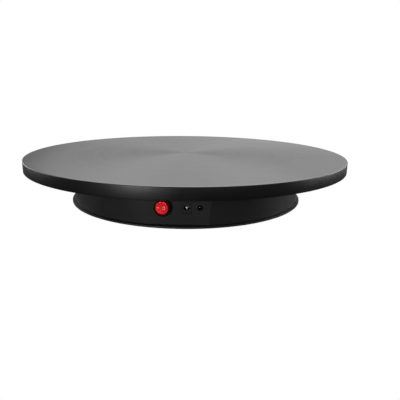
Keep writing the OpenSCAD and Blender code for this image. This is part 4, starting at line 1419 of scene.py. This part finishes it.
@dataclass
class RockerSwitch:
    """Round rocker switch: a domed bezel, a V-faced rocker and its two on and off marks.

    Attributes:
        across: Sideways place on the panel.
        radius: Radius of the rocker.
        lean: Its lean at rest, in degrees, with its left side pressed.
        slope: Slope of each half of its face, in degrees.
        depth: Depth of the pivot behind the bezel's face.
        bezel: Height of the bezel above the panel.
        edge: Radius of the round at the rocker's edge.
        sides: Points in each ring of the rocker.
        rings: Rings on its face.
        ink: Thickness of the printed marks.
    """

    across: float = -15.9
    radius: float = 7.1
    lean: float = 13.0
    slope: float = 6.0
    depth: float = 3.0
    bezel: float = 2.0
    edge: float = 0.5
    sides: int = 72
    rings: int = 14
    ink: float = 0.05

    @property
    def pivot(self) -> Place:
        """The rocker's own axes: its pivot, leaning with its left side pressed.

        Returns:
            The place of those axes.
        """
        lean = math.radians(-self.lean)
        spot = PANEL.moved(self.across, 0.0, self.bezel - self.depth)
        return Place(spot.origin, (math.cos(lean), math.sin(lean), 0.0), AXIS_Z)

    def face(self, x: np.ndarray, y: np.ndarray) -> np.ndarray:
        """Height of the rocker's face: a V eased at its foot, dished a little lengthwise.

        Args:
            x: Place across the rocker, from its pivot.
            y: Place along its pivot.

        Returns:
            The height above the pivot.
        """
        lean, slope = math.radians(self.lean), math.tan(math.radians(self.slope))
        edge = (self.depth + 0.1 + self.radius * math.sin(lean)) / math.cos(lean)
        foot = edge - slope * self.radius
        dish = 0.2 * ((y / self.radius) ** 2 - 1)
        return foot + slope * np.sqrt(x * x + 0.16) + dish

    def rocker(self) -> bpy.types.Object:
        """Builds the rocker as rings from its face's middle, over the edge and down its wall.

        Ring k has radius r(k) and drop d(k): flat on the face, a quarter round at the
        edge, then straight down to the foot.

        Returns:
            The finished rocker.
        """
        turn = np.linspace(0, FULL_TURN, self.sides, endpoint=False)
        bend = np.linspace(0, math.pi / 2, 5)[1:]
        flat = self.radius - self.edge
        reach = np.concatenate([np.linspace(0, flat, self.rings), flat + self.edge * np.sin(bend)])
        drop = np.concatenate([np.zeros(self.rings), self.edge * (1 - np.cos(bend))])
        x, y = np.outer(reach, np.cos(turn)), np.outer(reach, np.sin(turn))
        top = np.stack([x, y, self.face(x, y) - drop[:, None]], -1)
        wall = np.stack([x[-1:], y[-1:], np.full((1, self.sides), -self.depth)], -1)
        floor = wall * np.array([0.0, 0.0, 1.0])
        body = Shell("rocker_button").grid(np.concatenate([top, wall, floor]), self.pivot,
                                           loop_columns=True)
        pin = Place(self.pivot.origin, self.pivot.across, AXIS_Y)
        root, tip, thick = self.radius - 0.3, self.radius + 0.85, 1.0
        for end in (-1.0, 1.0):
            stub = rounded([(0.0, root * end, 0.0), (thick, root * end, 0.0),
                            (thick, tip * end, 0.2), (0.0, tip * end, 0.0)], 4)
            body.turned(stub, pin, 24)
        return body.build([RED_ROCKER], 30.0)

    def mark(self, name: str, outline: np.ndarray, hole: Optional[np.ndarray],
             across: float) -> bpy.types.Object:
        """Lays a thin printed mark on the rocker's face.

        The mark is a ribbon between two outlines, or between one outline and its centre;
        its top stands above the face by the ink's thickness and its edges run into it.

        Args:
            name: The mark's name.
            outline: Its outer outline.
            hole: Its inner outline, or None where it is solid.
            across: Its place across the rocker.

        Returns:
            The finished mark.
        """
        inner = outline * 0.0 if hole is None else hole
        share = np.array([0.0, 0.0, 0.5, 1.0, 1.0])[:, None, None]
        flat = inner[None] * (1 - share) + outline[None] * share + np.array([across, 0.0])
        lift = self.ink * np.array([-1.0, 1.0, 1.0, 1.0, -1.0])[:, None]
        if hole is None:
            flat, lift = flat[1:], lift[1:]
        level = self.face(flat[..., 0], flat[..., 1]) + lift
        grid = np.concatenate([flat, level[..., None]], -1)
        under = grid[-1:].mean(1, keepdims=True) * np.ones((1, len(outline), 1))
        grid = np.concatenate([grid, under if hole is None else grid[:1]])
        return Shell(name).grid(grid, self.pivot, loop_columns=True).build([MARK_WHITE], 60.0)

    def housing(self) -> bpy.types.Object:
        """Turns the bezel, its mouth and the barrel behind the panel as one profile.

        Returns:
            The finished bezel and barrel.
        """
        profile = rounded([
            (0.0, -7.5, 0.0), (8.0, -7.5, 0.4), (8.0, -1.0, 0.05), (8.5, -1.0, 0.1),
            (8.5, self.bezel, 0.25), (9.8, self.bezel, 0.4), (10.2, 0.0, 0.1), (9.0, 0.0, 0.05),
            (9.0, -16.5, 0.5), (0.0, -16.5, 0.0)], 6)
        body = Shell("switch_barrel").turned(profile, PANEL.moved(self.across, 0.0), 96)
        tab = rounded_box(5.0, 0.9, 0.2)
        for side in (-1.0, 1.0):
            spot = PANEL.moved(self.across, side * 9.15, -3.2)
            body.block(tab, [(0.2, 0.0), (0.0, -0.2), (0.0, -1.5), (0.35, -6.0)], spot)
        return body.build([BEZEL_BLACK], 35.0)

    def make(self) -> None:
        """Builds the switch in place of its imported housing and rocker."""
        seat(self.housing(), Body.BASE, ["switch_housing"])
        seat(self.rocker(), Body.ROCKER, ["switch_rocker"])
        dash = self.mark("mark_on", rounded_box(3.0, 0.7, 0.25), None, -4.2)
        ring = self.mark("mark_off", circle(1.7) * (0.95, 1.0), circle(1.15) * (0.93, 1.0), 2.2)
        seat(dash, Body.ROCKER)
        seat(ring, Body.ROCKER)


@dataclass
class PowerJack:
    """Power inlet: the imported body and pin, with a sprung contact leaf in its bore.

    Attributes:
        across: Sideways place on the panel.
        bore: Radius of the bore.
        mouth: Depth at which the leaf starts, behind the panel.
        length: Length of the leaf.
        gap: Gap between the leaf's ends and the bore.
        spring: How far the leaf's middle springs into the bore.
    """

    across: float = 9.4
    bore: float = 3.15
    mouth: float = 4.6
    length: float = 4.2
    gap: float = 0.12
    spring: float = 0.55

    def make(self) -> None:
        """Adds the sprung leaf, bowed as a squared sine, along the lower side of the bore."""
        spot, back = PANEL.moved(self.across, 0.0), np.linspace(0.0, 1.0, 12)
        level = self.gap - self.bore + self.spring * np.sin(math.pi * back) ** 2
        route = np.stack([0.0 * back, level, -self.mouth - self.length * back], 1)
        leaf = Shell("jack_leaf").strip(route, rounded_box(1.6, 0.16, 0.06, 3), AXIS_Y, spot)
        seat(leaf.build([CONTACT]), Body.BASE)


@dataclass
class RemoteReceiver:
    """Dark receiver: a domed lens on a small epoxy block with three legs.

    Attributes:
        across: Sideways place on the panel.
        radius: Radius of the lens.
        sunk: Depth of the dome's centre behind the panel.
        back: Depth of the block's rear face.
        pitch: Distance between the legs.
    """

    across: float = 23.9
    radius: float = 2.5
    sunk: float = 3.0
    back: float = 7.0
    pitch: float = 1.6

    def make(self) -> None:
        """Turns the lens, lofts its block and adds the legs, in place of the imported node."""
        spot, arc = PANEL.moved(self.across, 0.0), np.linspace(0, math.pi / 2, 10)
        dome = np.stack([self.radius * np.sin(arc), self.radius * np.cos(arc) - self.sunk], 1)
        foot = np.array([(self.radius, 1.0 - self.back), (0.0, 1.0 - self.back)])
        lens = Shell("receiver_lens").turned(np.concatenate([dome, foot]), spot, 48)
        block = [(0.3, 2.4), (0.0, 2.1), (0.0, 0.2), (0.2, 0.0)]
        lens.block(rounded_box(5.2, 6.4, 0.5), [(inset, up - self.back) for inset, up in block],
                   spot)
        seat(lens.build([DOME_BLACK]), Body.BASE, ["receiver_module"])
        legs = Shell("receiver_legs")
        bend = ((-2.4, 0.0), (-2.9, 0.6), (-3.2, 1.1), (-3.2, 2.2))
        for x in (-self.pitch, 0.0, self.pitch):
            route = np.array([(x, y, -self.back - behind) for y, behind in bend])
            legs.strip(route, rounded_box(0.45, 0.4, 0.1, 3), AXIS_X, spot)
        seat(legs.build([CONTACT]), Body.BASE)


@dataclass
class GearedMotor:
    """Motor can with rolled ends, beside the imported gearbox.

    Attributes:
        start: Where the can meets the gearbox along X.
        length: Length of the can.
        radius: Radius of the can.
        centre: Place of its axis along Y and Z.
        swage: Depth of the groove rolled near the can's far end.
    """

    start: float = 31.0
    length: float = 31.0
    radius: float = 11.5
    centre: tuple[float, float] = (75.0, 28.6)
    swage: float = 0.35

    def make(self) -> None:
        """Turns the can with a swaged ring near its far end."""
        axis = Place((self.start, *self.centre), AXIS_Y, AXIS_Z)
        r, waist, end = self.radius, self.radius - self.swage, self.length
        profile = rounded([
            (0.0, 0.0, 0.0), (r, 0.0, 1.6), (r, end - 5.0, 0.3), (waist, end - 4.6, 0.2),
            (waist, end - 3.8, 0.2), (r, end - 3.4, 0.3), (r, end, 0.5), (0.0, end, 0.0)], 5)
        can = Shell("motor_can_shell").turned(profile, axis, 72)
        seat(can.build([CAN_STEEL]), Body.BASE, ["motor_can"])


@dataclass
class Electronics:
    """Parts hung under the control board: chips with legs, capacitor, connectors, chips.

    Attributes:
        under: Height of the board's lower face.
        middle: Place of the board's middle along Y.
        leg: Reach and height of a chip's leg, from its root to its toe.
    """

    under: float = 31.4
    middle: float = -80.0
    leg: tuple[tuple[float, float], ...] = (
        (-0.1, 0.9), (0.25, 0.9), (0.42, 0.6), (0.5, 0.2), (0.7, 0.1), (1.0, 0.1))

    def hung(self, x: float, y: float) -> Place:
        """Returns a place on the board's underside whose third axis points down."""
        return Place((x, self.middle + y, self.under), AXIS_X, (0.0, -1.0, 0.0))

    def chip(self, name: str, node: str, spot: Place, size: tuple[float, float, float],
             legs: int) -> None:
        """Builds a chip with a row of bent legs on both long sides.

        Args:
            name: The piece's name.
            node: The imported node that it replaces.
            spot: Its place on the board.
            size: Its width, length and height.
            legs: Number of legs on each side.
        """
        width, length, height = size
        low, high = 0.2, 0.2 + height
        body = Shell(name).block(rounded_box(width, length, 0.2),
                                 [(0.25, low), (0.0, (low + high) / 2), (0.25, high - 0.05),
                                  (0.35, high)], spot)
        dimple = rounded([(0.0, high - 0.01, 0.0), (0.45, high + 0.02, 0.0),
                          (0.55, high - 0.08, 0.0), (0.0, high - 0.08, 0.0)], 3)
        body.turned(dimple, spot.moved(-width / 2 + 1.2, length / 2 - 1.2), 20)
        reach, rise = np.array(self.leg).T
        for x in np.linspace(-width / 2 + 0.8, width / 2 - 0.8, legs):
            for side in (-1.0, 1.0):
                route = np.stack([np.full_like(reach, x), side * (length / 2 + reach), rise], 1)
                body.strip(route, rounded_box(0.4, 0.16, 0.05, 2), AXIS_X, spot, 1)
        seat(body.build([CHIP_EPOXY, CONTACT]), Body.BASE, [node])

    def power_part(self) -> None:
        """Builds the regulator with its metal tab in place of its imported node."""
        spot = self.hung(19.0, -3.5)
        body = Shell("regulator_body").block(
            rounded_box(10.0, 9.0, 0.3), [(0.15, 0.1), (0.0, 0.3), (0.0, 4.0), (0.4, 4.4)], spot)
        body.block(rounded_box(9.0, 3.0, 0.5), [(0.1, 4.36), (0.0, 4.4), (0.0, 4.46), (0.1, 4.5)],
                   spot.moved(0.0, 2.6), 1)
        seat(body.build([CHIP_EPOXY, CONTACT]), Body.BASE, ["regulator"])

    def reservoir(self) -> None:
        """Turns the capacitor: a crimp near the board and a bare end inside its sleeve."""
        spot = self.hung(-27.0, -6.0)
        sleeve = rounded([(0.0, 0.2, 0.0), (3.6, 0.2, 0.4), (3.6, 1.6, 0.3), (3.25, 2.1, 0.3),
                          (3.6, 2.6, 0.3), (3.6, 10.0, 0.5), (2.7, 10.0, 0.1), (2.7, 9.8, 0.1),
                          (0.0, 9.8, 0.0)], 5)
        body = Shell("capacitor_can").turned(sleeve, spot, 48)
        cap = rounded([(0.0, 9.7, 0.0), (2.65, 9.7, 0.1), (2.65, 9.88, 0.1), (0.0, 9.92, 0.0)], 3)
        body.turned(cap, spot, 48, finish=1)
        for turn in (0.6, 0.6 + math.pi / 2):
            place = Place(spot.origin, (math.cos(turn), math.sin(turn), 0.0),
                          (math.sin(turn), -math.cos(turn), 0.0))
            body.block(rounded_box(4.4, 0.14, 0.05, 3), [(0.0, 9.86), (0.0, 9.95)], place, 1)
        seat(body.build([SLEEVE, CONTACT]), Body.BASE, ["capacitor"])

    def sockets(self) -> None:
        """Lofts four connector shells, each open where its lead goes in, with its plug."""
        body = Shell("connector_shells")
        plugs = Shell("connector_plugs")
        mouth = self.under - 3.0
        for x in (-20.0, 0.0, 20.0):
            self.socket(body, plugs, Place((x, self.middle - 21.0, mouth), AXIS_X, AXIS_Z))
        self.socket(body, plugs, Place((36.0, self.middle, mouth), AXIS_Y, AXIS_Z))
        seat(body.build([NYLON]), Body.BASE, ["board_connectors"])
        seat(plugs.build([NYLON, CHIP_EPOXY]), Body.BASE)

    @staticmethod
    def socket(body: Shell, plugs: Shell, spot: Place) -> None:
        """Adds one shell, six deep behind its mouth, and the plug that fills it.

        Args:
            body: The shells' mesh.
            plugs: The plugs' mesh.
            spot: Place of the shell's mouth.
        """
        body.block(rounded_box(8.0, 6.0, 0.4),
                   [(0.2, -6.0), (0.0, -5.8), (0.0, -0.2), (0.15, 0.0), (0.7, 0.0), (0.8, -0.15),
                    (0.8, -4.5)], spot)
        plugs.block(rounded_box(6.2, 4.2, 0.3), [(0.1, -4.4), (0.0, -4.2), (0.0, -0.9), (0.2, -0.7)],
                    spot, 1)

    def small_parts(self) -> None:
        """Scatters resistors and small capacitors in rows, each with plated ends."""
        parts = Shell("surface_parts")
        rows = [(-30.0, 9.0), (-27.0, 9.0), (-24.5, 3.0), (-24.5, 6.0), (-2.0, 12.0), (0.5, 12.0),
                (3.0, 12.0), (1.0, 0.5), (1.0, 3.0), (19.0, 9.0), (21.5, 9.0), (24.0, 9.0),
                (27.0, 2.0), (27.0, -6.0), (8.0, -2.0), (5.0, -6.0), (5.0, -9.0), (-8.0, -8.0),
                (-10.5, -8.0), (-13.0, -8.0)]
        for k, (x, y) in enumerate(rows):
            spot = self.hung(x, -y)
            tall = 0.45 + 0.35 * (k % 3 == 1)
            parts.block(rounded_box(1.3, 1.2, 0.05, 2), [(0.0, 0.02), (0.0, tall)], spot, k % 2)
            for side in (-1.0, 1.0):
                parts.block(rounded_box(0.45, 1.26, 0.08, 2), [(0.0, 0.0), (0.0, tall + 0.03)],
                            spot.moved(side * 0.82, 0.0), 2)
        seat(parts.build([CHIP_EPOXY, NYLON, CONTACT]), Body.BASE)

    def make(self) -> None:
        """Builds every part on the board."""
        self.chip("processor_package", "processor_chip", self.hung(-14.0, 2.0),
                  (13.0, 7.5, 2.3), 10)
        self.chip("driver_package", "driver_chip", self.hung(10.0, 6.0), (10.0, 4.0, 1.6), 8)
        self.power_part()
        self.reservoir()
        self.sockets()
        self.small_parts()


@dataclass
class Lead:
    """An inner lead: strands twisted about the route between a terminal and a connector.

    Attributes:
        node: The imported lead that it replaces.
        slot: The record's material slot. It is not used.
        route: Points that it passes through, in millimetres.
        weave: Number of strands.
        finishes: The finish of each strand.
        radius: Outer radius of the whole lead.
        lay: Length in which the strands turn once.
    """

    node: str
    slot: str
    route: Sequence[Sequence[float]]
    weave: Weave
    finishes: Sequence[Finish]
    radius: float = 1.0
    lay: float = 14.0

    def make(self) -> None:
        """Winds each strand round the route: offset o(s) = a cos(2 pi s / lay + phase)."""
        middle = smooth_route(self.route, 12)
        along = unit(np.gradient(middle, axis=0))
        side = unit(np.cross(along, AXIS_Z))
        up = np.cross(side, along)
        run = np.concatenate([[0.0], np.cumsum(np.linalg.norm(np.diff(middle, axis=0), axis=1))])
        count = self.weave.value
        share = math.sin(math.pi / count)
        thick = self.radius * share / (1 + share)
        offset = self.radius - thick
        lead = Shell(self.node.replace("_lead", "_strands"))
        for k in range(count):
            turn = (FULL_TURN * (run / self.lay + k / count))[:, None]
            strand = middle + offset * (np.cos(turn) * side + np.sin(turn) * up)
            lead.strip(strand, circle(thick, 12), AXIS_Z, finish=k)
        seat(lead.build(self.finishes), Body.BASE, [self.node])


LEADS = [
    Lead("jack_lead", "black_lead", [(9.4, -127.8, 19), (9, -124, 19), (6, -116, 21),
                                     (3, -108, 25), (0, -101.6, 28)],
         Weave.PAIR, [BLACK_LEAD, RED_LEAD]),
    Lead("switch_lead", "red_lead", [(-11.9, -121.7, 22.6), (-13, -117, 23), (-17, -109, 26),
                                     (-20, -101.6, 28)],
         Weave.PAIR, [RED_LEAD, BLACK_LEAD]),
    Lead("receiver_lead", "white_lead", [(23.9, -137.5, 18.5), (24, -132, 19), (24, -120, 21),
                                         (22, -110, 25), (20, -101.6, 28)],
         Weave.TRIPLE, [WHITE_LEAD, RED_LEAD, BLACK_LEAD]),
    Lead("motor_lead", "red_lead", [(69.3, 68, 28.6), (76, 66, 28), (86, 58, 27), (92, 42, 26),
                                    (94, 18, 25), (92, -10, 25), (84, -40, 26), (70, -64, 27),
                                    (56, -76, 28), (36.6, -80, 28)],
         Weave.PAIR, [RED_LEAD, BLACK_LEAD]),
]


def dress_frame() -> None:
    """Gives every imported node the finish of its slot, in its own material slots."""
    for name, node in sorted(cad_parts.items()):
        for place in node.material_slots:
            finish = CAD_FINISHES[place.material.name.split(".")[0]]
            place.material = finish.material()
        LOG.info("node %s dressed", name)


def main() -> None:
    """Sets the studio up, dresses the frame and builds every sub-assembly in order."""
    logging.basicConfig(level=logging.INFO, format="%(name)s: %(message)s")
    Studio().set_up()
    dress_frame()
    for part in (Platter(), Feet(), RockerSwitch(), PowerJack(), RemoteReceiver(),
                 GearedMotor(), Electronics(), *LEADS):
        part.make()
        LOG.info("%s built", type(part).__name__)


if __name__ == "__main__":
    main()
